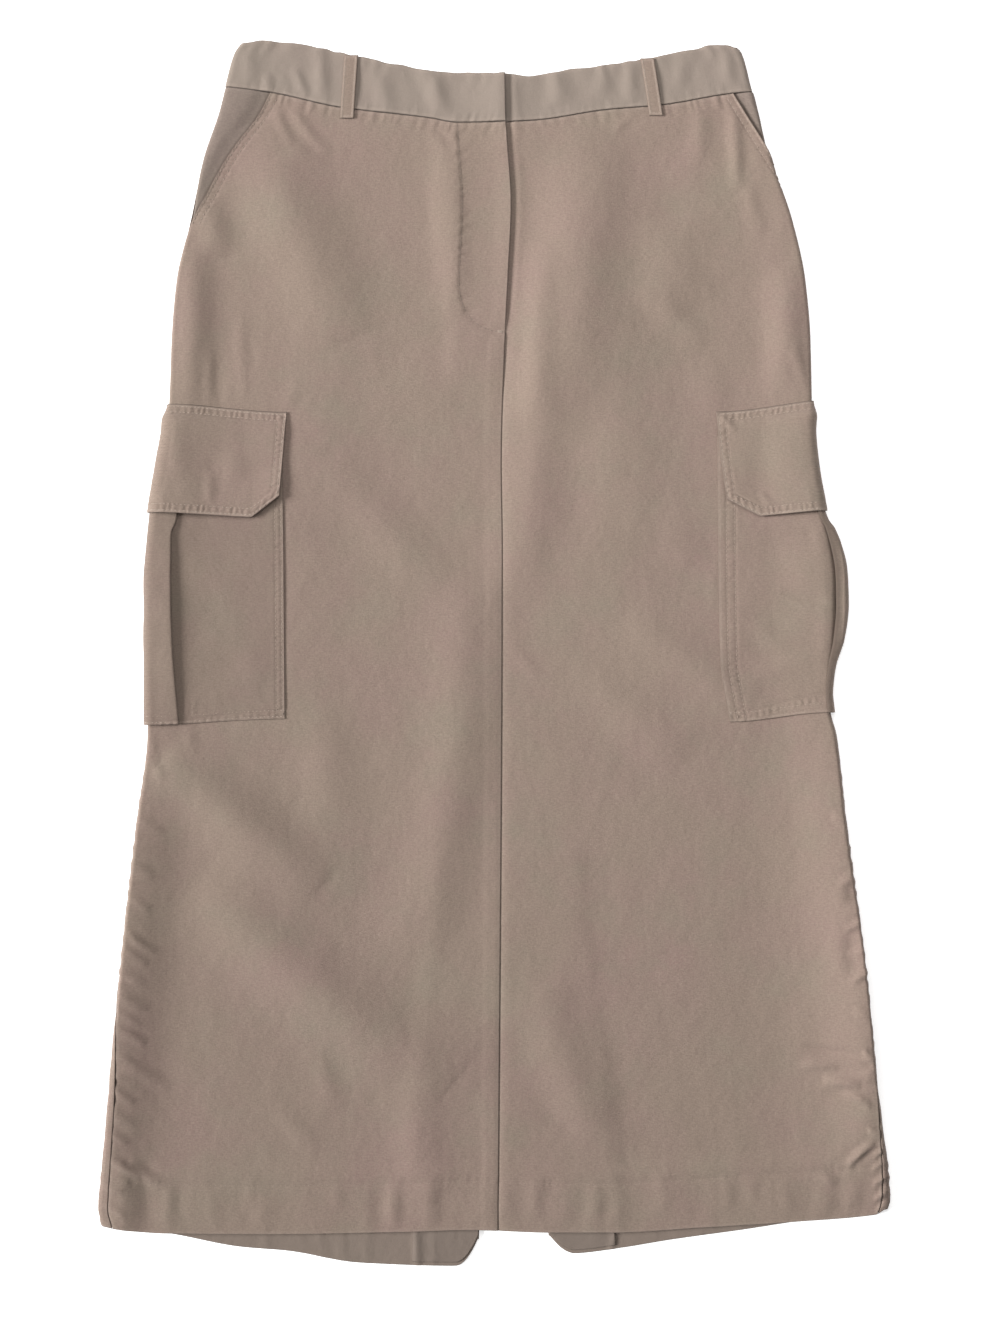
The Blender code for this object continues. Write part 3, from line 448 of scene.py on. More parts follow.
@dataclass(frozen=True)
class Outline:
    """The skirt's folds, edges and seams, from its own sizes in mm."""

    folds: dict[Side, Curve] = field(
        default_factory=lambda: {
            Side.LEFT: Curve(
                *((2, -192), (9, -196.7), (36, -204.2), (54, -208.8), (90, -221), (136, -230.8)),
                *((182, -241.5), (227, -245.3), (273, -246.8), (296, -248), (318, -251.8)),
                *((364, -259), (410, -262.8), (493, -263.1), (510, -263.1), (528, -263.5)),
                *((592, -271.9), (706, -284.8), (797, -293.2), (881, -300.8), (889, -301.3)),
                (901, -298.5),
            ),
            Side.RIGHT: Curve(
                *((2, 182), (9, 188), (36, 195.5), (54, 200.8), (90, 211.5), (136, 227.4)),
                *((182, 237.3), (227, 241.1), (273, 241.9), (296, 240), (318, 241.9)),
                *((364, 249.5), (410, 254), (493, 254.8), (510, 256.3), (528, 261), (592, 268.5)),
                *((706, 283.7), (797, 292.8), (881, 301.7), (889, 300.2), (901, 297)),
            ),
        }
    )
    band_top: Curve = Curve(
        *((-200, 8.4), (-189, 1.5), (-177.7, 0), (-154.8, 1.5), (-109, 10.6), (-63.6, 19.8)),
        *((-41, 23.6), (16, 25.1), (27.6, 26.6), (50.4, 22.8), (96, 16.7), (141.6, 8.4)),
        *((164, 3.8), (176, 2.8), (188, 8.4)),
    )
    waist_seam: Curve = Curve(
        *((-203.5, 35), (-167.8, 39.5), (-118.4, 50.2), (-48.5, 58.5), (-27, 62), (5, 61.6)),
        *((34, 60), (85, 52.4), (129, 48.6), (179, 40.3), (195.5, 38.8)),
    )
    front_hem: Curve = Curve(
        *((-301.5, 899), (-291.6, 902.5), (-250.6, 906.7), (-165.5, 907.4), (-79.6, 905.9)),
        *((-15.8, 904), (44, 905.9), (97, 905.9), (149, 902.9), (232, 897.6), (290.5, 892.2)),
        (300.4, 886.2),
    )
    back_hems: dict[Side, Curve] = field(
        default_factory=lambda: {
            Side.LEFT: Curve(
                *((-301.5, 899), (-291.6, 902.5), (-250.6, 906.7), (-193.6, 917.3)),
                *((-157, 920.4), (-102.4, 929.5), (-29.4, 932), (-12, 932)),
            ),
            Side.RIGHT: Curve(
                *((43.5, 923), (61.8, 922.5), (98.2, 918), (134.7, 912), (189.4, 904.4)),
                *((235, 897.6), (290.5, 892.2), (300.4, 886.2)),
            ),
        }
    )
    slit_corners: dict[Side, tuple[float, float]] = field(
        default_factory=lambda: {Side.LEFT: (20.5, 17.5), Side.RIGHT: (14.0, 20.0)}
    )
    centre_front: Curve = Curve(
        *((26, 8.6), (61, 9.3), (123, 13.1), (177, 10.8), (221, 8.6), (321, 5.5)),
        *((383, 6.3), (905, 3.2)),
    )
    side_seams: dict[Side, Curve] = field(
        default_factory=lambda: {
            Side.LEFT: Curve((0, 0), (690, 0), (805, -8), (900, -10)),
            Side.RIGHT: Curve(
                *((2, 22), (68, 24), (150, 20), (425, 19), (524, 17), (653, 8), (729, 2)),
                *((805, -4), (890, -9)),
            ),
        }
    )
    opening_widths: dict[Side, Curve] = field(
        default_factory=lambda: {
            Side.LEFT: Curve(
                *((35, 38), (56, 32.5), (75, 25), (93, 18), (111, 11.7), (126, 6.5), (136, 3)),
                (151, 0),
            ),
            Side.RIGHT: Curve(
                *((35, 41), (56, 35), (75, 28.5), (93, 22), (111, 14), (126, 8), (136, 4)),
                (151, 0),
            ),
        }
    )
    slit_middle: Curve = Curve((0, 7), (640, 10), (705, 11), (800, 12.8), (932, 15.8))
    slit_half: Curve = Curve((0, 0), (640, 0), (705, 7), (800, 18.8), (932, 27.8))


@dataclass
class Tube:
    """The flattened tube that all pieces lie on, with its creases."""

    outline: Outline = field(default_factory=Outline)
    centre_x: float = 0.25
    centre_down: float = 466.05
    wall: float = 1.0
    hem_wall: float = 1.9
    gap: float = 0.3
    fold_radius: float = 3.0
    arc: float = 4.6
    lap: float = 34.0
    fly_end: float = 221.0
    vent_top: float = 640.0
    vent_width: float = 50.0
    hem_depth: float = 38.0
    pocket_half: float = 104.5
    pocket_pitch: float = 1.3
    flap_pitch: float = 1.7
    flap_over: float = 3.0
    pocket_span: tuple[float, float] = (300.0, 520.0)
    flap_span: tuple[float, float] = (275.0, 364.0)
    facing_end: float = 166.0
    most_room: float = 3.8
    deepest: float = 0.7
    pleat_centres: dict[Side, float] = field(
        default_factory=lambda: {Side.LEFT: 0.0, Side.RIGHT: 19.5}
    )
    fly_edge: Curve = Curve((20, 1.6), (60, 1.9), (140, 1.9), (180, 1.5), (205, 1.1), (221, 0.3), (240, 0))
    side_pucker: Pucker = Pucker(13.5, 0.55, 0.0, 22.0, 0.9)
    small_side_pucker: Pucker = Pucker(7.0, 0.22, 6.0, 16.0, 2.1)
    side_gains: dict[Side, float] = field(default_factory=lambda: {Side.LEFT: 1.5, Side.RIGHT: 2.3})

    def fold(self, side: Side, down: Array) -> Array:
        """x of a fold's outermost line."""
        return self.outline.folds[side](down)

    def front_q(self, side: Side, x: Array, down: Array) -> Array:
        """q of a place on the front, from its x."""
        return -(self.arc - self.fold_radius + side * (self.fold(side, down) - x))

    def back_q(self, side: Side, x: Array, down: Array) -> Array:
        """q of a place on the back, from its x."""
        return -self.front_q(side, x, down)

    def flat_x(self, side: Side, q: Array, down: Array) -> Array:
        """x of the flat part at q, or of the arc's centre where q lies on the fold."""
        inwards = self.fold_radius + np.maximum(np.abs(q) - self.arc, 0.0)
        return self.fold(side, down) - side * inwards

    @property
    def seam(self) -> float:
        """Half of the gap between two pieces that are sewn together."""
        return self.gap / 2

    def centre_back(self, side: Side, down: Array) -> Array:
        """x of a back panel's inner edge."""
        return self.outline.slit_middle(down) + side * (self.outline.slit_half(down) + self.seam)

    def back_edge(self, side: Side, down: Array) -> Array:
        """q of a back panel's inner edge."""
        return self.back_q(side, self.centre_back(side, down), down)

    def corner_rise(self, side: Side, x: Array) -> Array:
        """How much higher a back's rounded corner is than its hem: height (1 - distance / width)^2."""
        height, width = self.outline.slit_corners[side]
        hem = self.outline.back_hems[side](x)
        distance = side * (x - self.centre_back(side, hem))
        return height * np.clip(1 - distance / width, 0, 1) ** 2

    def back_bottom(self, side: Side, x: Array) -> Array:
        """Distance down of a back's hem, with its corner rounded beside the slit."""
        return self.outline.back_hems[side](x) - self.corner_rise(side, x)

    def by_hem(self, in_hem: float, above: float, above_hem: Array) -> Array:
        """One value over the hem's turned depth and another above it, from the height above the hem."""
        return blend(in_hem, above, Fade(0.0, 2.0).at(above_hem - self.hem_depth))

    def pocket_rear(self, side: Side) -> float:
        """q of a cargo pocket's rear edge."""
        return self.pleat_centres[side] + self.pocket_half

    def opening(self, side: Side, down: Array) -> Array:
        """q of the front's side edge: the slanted pocket opening, then the side seam."""
        return self.outline.side_seams[side](down) - self.outline.opening_widths[side](down)

    def under_share(self, side: Side, x: Array, down: Array, span: tuple[float, float]) -> Array:
        """1 over a cargo pocket's rear half between two heights, going to 0 beside it."""
        across = side * (self.fold(side, down) - x)
        reach = self.pocket_rear(side) + self.flap_over
        above, below = Fade(-25.0, 25.0), Fade(0.0, 25.0)
        beside = 1 - Fade(0.0, 60.0).at(across - reach)
        return beside * above.at(down - span[0]) * (1 - below.at(down - span[1]))

    def lift(self, x: Array, down: Array) -> Array:
        """Height of the back's outer face: loops, pockets and flaps lie under it."""
        height = 2.0 * (1 - Fade(66.0, 60.0).at(down))
        for side in Side:
            height = height + self.pocket_pitch * self.under_share(side, x, down, self.pocket_span)
            height = height + self.flap_pitch * self.under_share(side, x, down, self.flap_span)
        return height

    def room(self, x: Array, down: Array) -> Array:
        """Room between the two layers: a power mean of what each place needs, and the soft folds."""
        line = self.outline
        edge = np.minimum(x - self.fold(Side.LEFT, down), self.fold(Side.RIGHT, down) - x)
        from_fly = np.abs(x - line.centre_front(down) + self.lap / 2) - self.lap / 2
        from_slit = np.abs(x - line.slit_middle(down)) - line.slit_half(down) - self.vent_width
        hem = Fade(-24.0, 20.0).at(down - line.front_hem(x) + self.hem_depth)
        vent = (1 - Fade(0.0, 24.0).at(from_slit)) * Fade(-40.0, 24.0).at(down - self.vent_top)
        fly = 1 - Fade(0.0, 24.0).at(from_fly)
        waist = 1 - Fade(6.0, 44.0).at(down - line.waist_seam(x))
        hip = (1 - Fade(62.0, 46.0).at(edge)) * (1 - Fade(0.0, 30.0).at(down - self.facing_end))
        # In mm: everywhere, at the folds, and for the layers that lie in each place
        needs = (
            1.0 + 0.0 * edge,
            3.6 * (1 - Fade(0.0, 60.0).at(edge)),
            3.2 * waist,
            2.0 * hip,
            3.7 * fly * waist,
            2.5 * fly * (1 - Fade(20.0, 40.0).at(down - self.fly_end)),
            2.7 * hem,
            2.1 * vent,
            3.5 * vent * hem,
        )
        most = sum(need**4 for need in needs) ** 0.25
        folds = sum(ridge.swell(x, down) for ridge in RIDGES)
        return np.minimum(most + folds, self.most_room)

    def creased(self, side: Side, q: Array, down: Array) -> Array:
        """How far the creases lift the cloth, on the front and, into the tube, on the back.

        Where the front's go down, they stop at the deepest level in a soft curve:
        deepest tanh(height / deepest).
        """
        x = self.flat_x(side, q, down)
        below_band = Fade(0.0, 16.0).at(down - self.outline.waist_seam(x))
        height = 0.0 * x
        if np.any(q < 0):
            on_front = below_band * (1 - ease((q + self.arc) / self.arc))
            height = crease_heights(BROAD_FOLDS + SOFT_FOLDS + HEM_CREASES, x, down)
            height = height + self.side_gains[side] * crease_heights(SIDE_CREASES, x, down)
            height = on_front * height
            height = np.where(height < 0, self.deepest * np.tanh(height / self.deepest), height)
        if np.any(q > self.arc):
            on_back = below_band * Fade(self.arc, 14.0).at(q)
            height = height + on_back * np.maximum(crease_heights(BACK_FOLDS, x, down), 0.0)
        return height

    def side_waves(self, q: Array, down: Array) -> Array:
        """How far the puckers along the side seams move the cloth outwards."""
        low = Fade(530.0, 60.0).at(down)
        waves = self.side_pucker.at(down, np.abs(q)) + self.small_side_pucker.at(down + 0.3 * q, np.abs(q))
        return low * waves * np.where(q > 0, 0.6, 1.0)

    def on_front(self, q: Array) -> Array:
        """1 on the front's flat part, 0 from beside the fold on."""
        return np.where(q < 0, 1 - ease((q + 2 * self.arc) / self.arc), 0.0)

    def band_creased(self, side: Side, q: Array, down: Array) -> Array:
        """How far the waistband's creases move it outwards, on the front."""
        x = self.flat_x(side, q, down)
        on_band = 1 - Fade(-1.0, 4.0).at(down - self.outline.waist_seam(x))
        return self.on_front(q) * on_band * crease_heights(BAND_CREASES, x, down)

    def point(self, side: Side, q: Array, down: Array, out: Array, aside: Array = 0.0) -> Array:
        """Points on the tube, in mm, in the part's frame.

        On a fold the section is half an ellipse: with a = 90 degrees * q / arc,
            x = centre + side (radius + out) cos a, z = middle - (half height + out) sin a.
        Past the fold it is flat, out to each side of the tube. Creases are added to z.

        Args:
            side: the half of the skirt.
            q: distance round the fold.
            down: below the waistband's top.
            out: outside the tube's outer face.
            aside: moved away sideways.

        Returns:
            x, y and z of each point, along the last axis.
        """
        q, down, out = np.broadcast_arrays(q, down, out)
        turn = np.clip(q / self.arc, -1, 1) * math.pi / 2
        flat = self.flat_x(side, q, down)
        bottom = self.lift(flat, down)
        top = bottom + 2 * self.wall + self.room(flat, down)
        out = out + self.side_waves(q, down)
        x = flat + side * (self.fold_radius + out) * np.cos(turn) + side * aside
        z = (top + bottom) / 2 - ((top - bottom) / 2 + out) * np.sin(turn)
        z = z + self.creased(side, q, down)
        return np.stack([x - self.centre_x, self.centre_down - down, np.maximum(z, 0.0)], axis=-1)


# Grids and meshes


def steps(*runs: tuple[float, float]) -> Array:
    """Distances from an edge, from 0: each run goes up to a distance in even steps of about a pitch.

    Args:
        runs: (distance, pitch) of each run, in order.

    Returns:
        The distances.
    """
    found = [np.zeros(1)]
    start = 0.0
    for until, pitch in runs:
        count = max(1, round((until - start) / pitch))
        found.append(start + (until - start) * np.arange(1, count + 1) / count)
        start = until
    return np.concatenate(found)


def turned_edge(*further: tuple[float, float]) -> Array:
    """Distances from a turned edge: close over its rounding, then as given."""
    return steps((0.3, 0.15), (0.9, 0.3), *further)


@dataclass(frozen=True)
class Lines:
    """A grid's lines across a width: at set distances from both edges, and even between them.

    A line's place is blend(low + from_low, high - from_high, share).
    """

    from_low: Array
    from_high: Array
    share: Array

    @classmethod
    def between(cls, near_low: Array, near_high: Array, middle: int) -> "Lines":
        """Lines from the distances near each edge and a number of lines between."""
        even = np.arange(1, middle + 1) / (middle + 1)
        return cls(
            np.concatenate([near_low, np.full(middle + len(near_high), near_low[-1])]),
            np.concatenate([np.full(len(near_low) + middle, near_high[-1]), near_high[::-1]]),
            np.concatenate([0 * near_low, even, 0 * near_high + 1]),
        )

    @classmethod
    def turned(cls, low: list[tuple], high: list[tuple], middle: int) -> "Lines":
        """Lines between two turned edges, from the runs beyond each edge's rounding."""
        return cls.between(turned_edge(*low), turned_edge(*high), middle)

    def across(self, low: Array, high: Array) -> Array:
        """Places of the lines as columns."""
        return blend(low + self.from_low, high - self.from_high, self.share)

    def along(self, low: Array, high: Array) -> Array:
        """Places of the lines as rows."""
        from_low, from_high = self.from_low[:, None], self.from_high[:, None]
        return blend(low + from_low, high - from_high, self.share[:, None])

    def __len__(self) -> int:
        """Number of lines."""
        return len(self.share)


def grid_faces(rows: int, columns: int) -> Array:
    """Corners of a grid's quads, as indices."""
    index = np.arange(rows * columns).reshape(rows, columns)
    return np.stack([index[:-1, :-1], index[:-1, 1:], index[1:, 1:], index[1:, :-1]], -1).reshape(-1, 4)


def wall_faces(rows: int, columns: int) -> Array:
    """Corners of the quads that join the rims of two grids, the second one's indices after the first's."""
    index = np.arange(rows * columns).reshape(rows, columns)
    rim = np.concatenate([index[0, :-1], index[:-1, -1], index[-1, :0:-1], index[:0:-1, 0]])
    ahead = np.roll(rim, -1)
    return np.stack([rim, rim + rows * columns, ahead + rows * columns, ahead], -1)


def new_object(name: str, data: bpy.types.ID) -> bpy.types.Object:
    """An object in the scene."""
    obj = bpy.data.objects.new(name, data)
    bpy.context.scene.collection.objects.link(obj)
    return obj


def new_piece(
    name: str, points: Array, faces: list[Array], uv: Array, marks: dict[str, Array]
) -> bpy.types.Object:
    """A mesh object in the scene.

    Args:
        name: of the piece.
        points: x, y and z of each point, in mm.
        faces: indices of the faces' corners, in one array for each number of corners.
        uv: the cloth's own coordinates at each point, in mm.
        marks: values at each point that the materials read, by name.

    Returns:
        The object.
    """
    corners = np.concatenate([part.ravel() for part in faces]).astype(np.int32)
    sizes = np.concatenate([np.full(len(part), part.shape[1]) for part in faces])
    starts = np.concatenate([[0], np.cumsum(sizes)[:-1]]).astype(np.int32)
    mesh = bpy.data.meshes.new(name)
    mesh.vertices.add(len(points))
    mesh.vertices.foreach_set("co", (points * MM).astype(np.float32).ravel())
    mesh.loops.add(len(corners))
    mesh.loops.foreach_set("vertex_index", corners)
    mesh.polygons.add(len(starts))
    mesh.polygons.foreach_set("loop_start", starts)
    mesh.polygons.foreach_set("use_smooth", np.ones(len(starts), bool))
    layer = mesh.uv_layers.new(name="cloth")
    layer.data.foreach_set("uv", (uv[corners] * MM).astype(np.float32).ravel())
    for mark, values in marks.items():
        attribute = mesh.attributes.new(mark, "FLOAT", "POINT")
        attribute.data.foreach_set("value", values.astype(np.float32))
    mesh.update(calc_edges=True)
    mesh.validate()
    return new_object(name, mesh)


def facing_out(outer: Array, inner: Array) -> bool:
    """Whether a grid's faces, row by row, point from the inner to the outer points."""
    across = outer[:-1, 1:] - outer[:-1, :-1]
    along = outer[1:, :-1] - outer[:-1, :-1]
    outwards = outer[:-1, :-1] - inner[:-1, :-1]
    return float((np.cross(across, along) * outwards).sum()) > 0


# Finishes


def make_group(name: str, inputs: dict[str, object], outputs: dict[str, str]) -> bpy.types.NodeTree:
    """An empty shader node group.

    Args:
        name: of the group.
        inputs: the default of each input. A number makes a value, a tuple of 3 a vector, of 4 a colour.
        outputs: the socket type of each output.

    Returns:
        The group.
    """
    group = bpy.data.node_groups.new(name, "ShaderNodeTree")
    for label, default in inputs.items():
        kind = "NodeSocketFloat"
        if isinstance(default, tuple):
            kind = "NodeSocketVector" if len(default) == 3 else "NodeSocketColor"
        socket = group.interface.new_socket(label, in_out="INPUT", socket_type=kind)
        socket.default_value = default
    for label, kind in outputs.items():
        group.interface.new_socket(label, in_out="OUTPUT", socket_type=kind)
    group.nodes.new("NodeGroupInput")
    group.nodes.new("NodeGroupOutput")
    return group


@dataclass
class Graph:
    """Short ways to add nodes to one node tree."""

    tree: bpy.types.NodeTree

    @property
    def given(self) -> bpy.types.NodeOutputs:
        """A group's inputs, inside it."""
        return self.tree.nodes["Group Input"].outputs

    @property
    def result(self) -> bpy.types.NodeInputs:
        """A group's outputs, inside it."""
        return self.tree.nodes["Group Output"].inputs

    def put(self, value: object, socket: bpy.types.NodeSocket) -> None:
        """Links an output to a socket, or sets the socket to a value."""
        if isinstance(value, bpy.types.NodeSocket):
            self.tree.links.new(value, socket)
        else:
            socket.default_value = value

    def node(self, kind: str, inputs: dict[object, object], **settings: object) -> bpy.types.Node:
        """Adds a node of a kind with its inputs, by name or number, and its settings."""
        node = self.tree.nodes.new(kind)
        for label, value in settings.items():
            setattr(node, label, value)
        for label, value in inputs.items():
            self.put(value, node.inputs[label])
        return node

    def math(self, operation: str, *values: object) -> bpy.types.NodeSocket:
        """A Math node's result."""
        return self.node("ShaderNodeMath", dict(enumerate(values)), operation=operation).outputs[0]

    def noise(
        self, vector: object, scale: object, detail: float, rough: float = 0.5
    ) -> bpy.types.NodeSocket:
        """A Noise texture's value, from 0 to 1."""
        inputs = {"Vector": vector, "Scale": scale, "Detail": detail, "Roughness": rough}
        return self.node("ShaderNodeTexNoise", inputs).outputs["Fac"]

    def spread(
        self, value: object, low: float, high: float, new_low: object, new_high: object
    ) -> bpy.types.NodeSocket:
        """A value mapped from one range to another and kept inside it."""
        inputs = {"Value": value, "From Min": low, "From Max": high, "To Min": new_low, "To Max": new_high}
        return self.node("ShaderNodeMapRange", inputs, clamp=True).outputs["Result"]

    def mix(self, share: object, one: object, other: object) -> bpy.types.NodeSocket:
        """A mix of two colours."""
        return self.node("ShaderNodeMix", {0: share, 6: one, 7: other}, data_type="RGBA").outputs[2]

    def bump(
        self, strength: float, distance: float, height: object, **more: object
    ) -> bpy.types.NodeSocket:
        """A Bump node's normal."""
        inputs = {"Strength": strength, "Distance": distance, "Height": height, **more}
        return self.node("ShaderNodeBump", inputs).outputs["Normal"]

    def mark(self, name: str) -> bpy.types.NodeSocket:
        """A mark on the mesh, as a share."""
        return self.node("ShaderNodeAttribute", {}, attribute_name=name).outputs["Fac"]

    def shared(self, group: bpy.types.NodeTree, inputs: dict[object, object]) -> bpy.types.NodeOutputs:
        """A shared group's outputs."""
        return self.node("ShaderNodeGroup", inputs, node_tree=group).outputs


def new_material(
    name: str, settings: dict[str, object]
) -> tuple[bpy.types.Material, Graph, bpy.types.NodeInputs]:
    """A material.

    Args:
        name: of the material.
        settings: values of its shader's inputs, by name.

    Returns:
        The material, its graph, and its shader's inputs.
    """
    material = bpy.data.materials.new(name)
    material.use_nodes = True
    inputs = material.node_tree.nodes["Principled BSDF"].inputs
    for label, value in settings.items():
        inputs[label].default_value = value
    return material, Graph(material.node_tree), inputs


def twill_group() -> bpy.types.NodeTree:
    """Twill: slanted ribs of short floats.

    Ribs: sin(2 pi (u + 0.5 v) / pitch). Floats: sin(2 pi u / yarn) sin(2 pi v / yarn), with the yarn
    0.55 of the pitch. Both are broken up by noise, as yarns are of uneven thickness.
    """
    group = make_group(
        "twill weave",
        {"Vector": (0.0, 0.0, 0.0), "Pitch": 0.0009, "Uneven": 0.35},
        {"Height": "NodeSocketFloat", "Shade": "NodeSocketFloat"},
    )
    graph = Graph(group)
    given = graph.given
    parts = graph.node("ShaderNodeSeparateXYZ", {0: given["Vector"]}).outputs
    turn = graph.math("DIVIDE", 2 * math.pi, given["Pitch"])
    slant = graph.math("ADD", parts["X"], graph.math("MULTIPLY", parts["Y"], 0.5))
    ribs = graph.math("SINE", graph.math("MULTIPLY", slant, turn))
    yarn = graph.math("MULTIPLY", turn, 1 / 0.55)
    warp = graph.math("SINE", graph.math("MULTIPLY", parts["X"], yarn))
    weft = graph.math("SINE", graph.math("MULTIPLY", parts["Y"], yarn))
    floats = graph.math("MULTIPLY", warp, weft)
    both = graph.math("ADD", graph.math("MULTIPLY", ribs, 0.62), graph.math("MULTIPLY", floats, 0.38))
    rough = graph.math("SUBTRACT", graph.noise(given["Vector"], 900.0, 2.0), 0.5)
    uneven = graph.math("MULTIPLY", rough, graph.math("MULTIPLY", given["Uneven"], 4.0))
    height = graph.math("ADD", both, uneven)
    graph.put(height, graph.result["Height"])
    graph.put(graph.spread(height, -1.2, 1.2, 0.0, 1.0), graph.result["Shade"])
    return group


def heather_group() -> bpy.types.NodeTree:
    """Colour that varies from yarn to yarn and, softly, over hand-sized patches.

    A ground colour is mixed with a dark and a light yarn where stretched noise is high, and with a
    warm and a cool tint over broad soft patches.
    """
    group = make_group(
        "heather",
        {
            "Vector": (0.0, 0.0, 0.0),
            "Ground": (0.3, 0.24, 0.2, 1.0),
            "Dark": (0.25, 0.2, 0.16, 1.0),
            "Light": (0.36, 0.29, 0.24, 1.0),
            "Warm": (0.31, 0.23, 0.2, 1.0),
            "Cool": (0.29, 0.25, 0.2, 1.0),
            "Speckle": 0.5,
        },
        {"Color": "NodeSocketColor", "Mask": "NodeSocketFloat"},
    )
    graph = Graph(group)
    given = graph.given
    vector = given["Vector"]
    warm = graph.spread(graph.noise(vector, 8.0, 6.0, 0.62), 0.42, 0.66, 0.0, 1.0)
    cool = graph.spread(graph.noise(vector, 13.0, 6.0, 0.62), 0.5, 0.7, 0.0, 0.8)
    broad = graph.mix(cool, graph.mix(warm, given["Ground"], given["Warm"]), given["Cool"])
    scale = graph.node("ShaderNodeMapping", {"Vector": vector, "Scale": (1.0, 0.4, 1.0)}).outputs[0]
    across = graph.node("ShaderNodeMapping", {"Vector": vector, "Scale": (0.4, 1.0, 1.0)}).outputs[0]
    dark = graph.spread(graph.noise(scale, 950.0, 4.0, 0.7), 0.42, 0.72, 0.0, given["Speckle"])
    light = graph.spread(graph.noise(across, 900.0, 4.0, 0.7), 0.42, 0.72, 0.0, given["Speckle"])
    yarns = graph.mix(light, graph.mix(dark, broad, given["Dark"]), given["Light"])
    graph.put(yarns, graph.result["Color"])
    graph.put(graph.math("SUBTRACT", light, dark), graph.result["Mask"])
    return group


def crumple_group() -> bpy.types.NodeTree:
    """Shallow uneven rumples of washed cloth: two scales of noise, slightly longer than wide."""
    group = make_group(
        "crumple",
        {"Vector": (0.0, 0.0, 0.0), "Scale": 42.0},
        {"Height": "NodeSocketFloat"},
    )
    graph = Graph(group)
    given = graph.given
    turned = {"Vector": given["Vector"], "Rotation": (0.0, 0.0, 0.9), "Scale": (1.0, 0.8, 1.0)}
    vector = graph.node("ShaderNodeMapping", turned).outputs[0]
    fine = graph.noise(vector, graph.math("MULTIPLY", given["Scale"], 3.1), 2.0)
    both = graph.math("ADD", graph.noise(vector, given["Scale"], 2.0), graph.math("MULTIPLY", fine, 0.3))
    graph.put(both, graph.result["Height"])
    return group


def worn_group() -> bpy.types.NodeTree:
    """Worn edges: a mark on the mesh, broken up by noise, as a share."""
    group = make_group(
        "worn edges",
        {"Vector": (0.0, 0.0, 0.0), "Mark": 0.0, "Strength": 0.5},
        {"Share": "NodeSocketFloat"},
    )
    graph = Graph(group)
    given = graph.given
    broken = graph.spread(graph.noise(given["Vector"], 260.0, 3.0), 0.3, 0.65, 0.35, 1.0)
    marked = graph.math("MULTIPLY", given["Mark"], broken)
    graph.put(graph.math("MULTIPLY", marked, given["Strength"]), graph.result["Share"])
    return group


Colour = tuple[float, float, float, float]


@dataclass(frozen=True)
class ClothFinish:
    """Cotton twill: its colours, weave and sheen, and the shade painted on it."""

    name: str
    ground: Colour
    dark: Colour
    light: Colour
    warm: Colour
    cool: Colour
    worn: Colour
    # Colour of the inside faces: the twill's duller back, and partly painted shade
    inner: Colour
    faded: Colour = (0.252, 0.209, 0.176, 1.0)
    # Colour of the painted shade in seams, along edges and in the pleats' depth
    painted_shade: Colour = (0.085, 0.062, 0.048, 1.0)
    pitch: float = 0.0009
    bump: float = 0.6
    bump_depth: float = 0.00016
    speckle: float = 0.62
    rumple: float = 0.0012
    worn_strength: float = 0.7
    mark_strength: float = 0.85

    def build(self, groups: dict[str, bpy.types.NodeTree]) -> bpy.types.Material:
        """Makes the material.

        Args:
            groups: the shared node groups, by name.

        Returns:
            The material.
        """
        settings = {"Specular IOR Level": 0.22, "Sheen Weight": 0.12, "Sheen Roughness": 0.6}
        material, graph, shader = new_material(self.name, settings)
        uv = graph.node("ShaderNodeUVMap", {}, uv_map="cloth").outputs["UV"]
        wear, inside, faded, painted_shade = map(graph.mark, ("wear", "inside", "faded", "painted_shade"))
        colours = {
            "Ground": self.ground,
            "Dark": self.dark,
            "Light": self.light,
            "Warm": self.warm,
            "Cool": self.cool,
            "Speckle": self.speckle,
        }
        weave = graph.shared(groups["weave"], {"Vector": uv, "Pitch": self.pitch})
        heather = graph.shared(groups["heather"], {"Vector": uv, **colours})
        worn_inputs = {"Vector": uv, "Mark": wear, "Strength": self.worn_strength}
        worn = graph.shared(groups["worn"], worn_inputs)
        crumple = graph.shared(groups["crumple"], {"Vector": uv})
        shade = graph.spread(weave["Shade"], 0.0, 1.0, 0.0, 0.28)
        woven = graph.mix(shade, heather["Color"], self.light)
        aged = graph.mix(faded, woven, self.faded)
        outer = graph.mix(worn["Share"], aged, self.worn)
        # Inside faces are darker: the twill's duller back, and partly painted shade
        colour = graph.mix(graph.math("MULTIPLY", inside, self.mark_strength), outer, self.inner)
        # Painted shade in seams, along edges and in the pleats' depth
        shaded = graph.mix(graph.math("MULTIPLY", painted_shade, self.mark_strength), colour, self.painted_shade)
        graph.put(shaded, shader["Base Color"])
        graph.put(graph.spread(weave["Shade"], 0.0, 1.0, 0.97, 0.84), shader["Roughness"])
        rumples = graph.bump(1.0, self.rumple, crumple["Height"])
        threads = graph.bump(self.bump, self.bump_depth, weave["Height"], Normal=rumples)
        graph.put(threads, shader["Normal"])
        return material


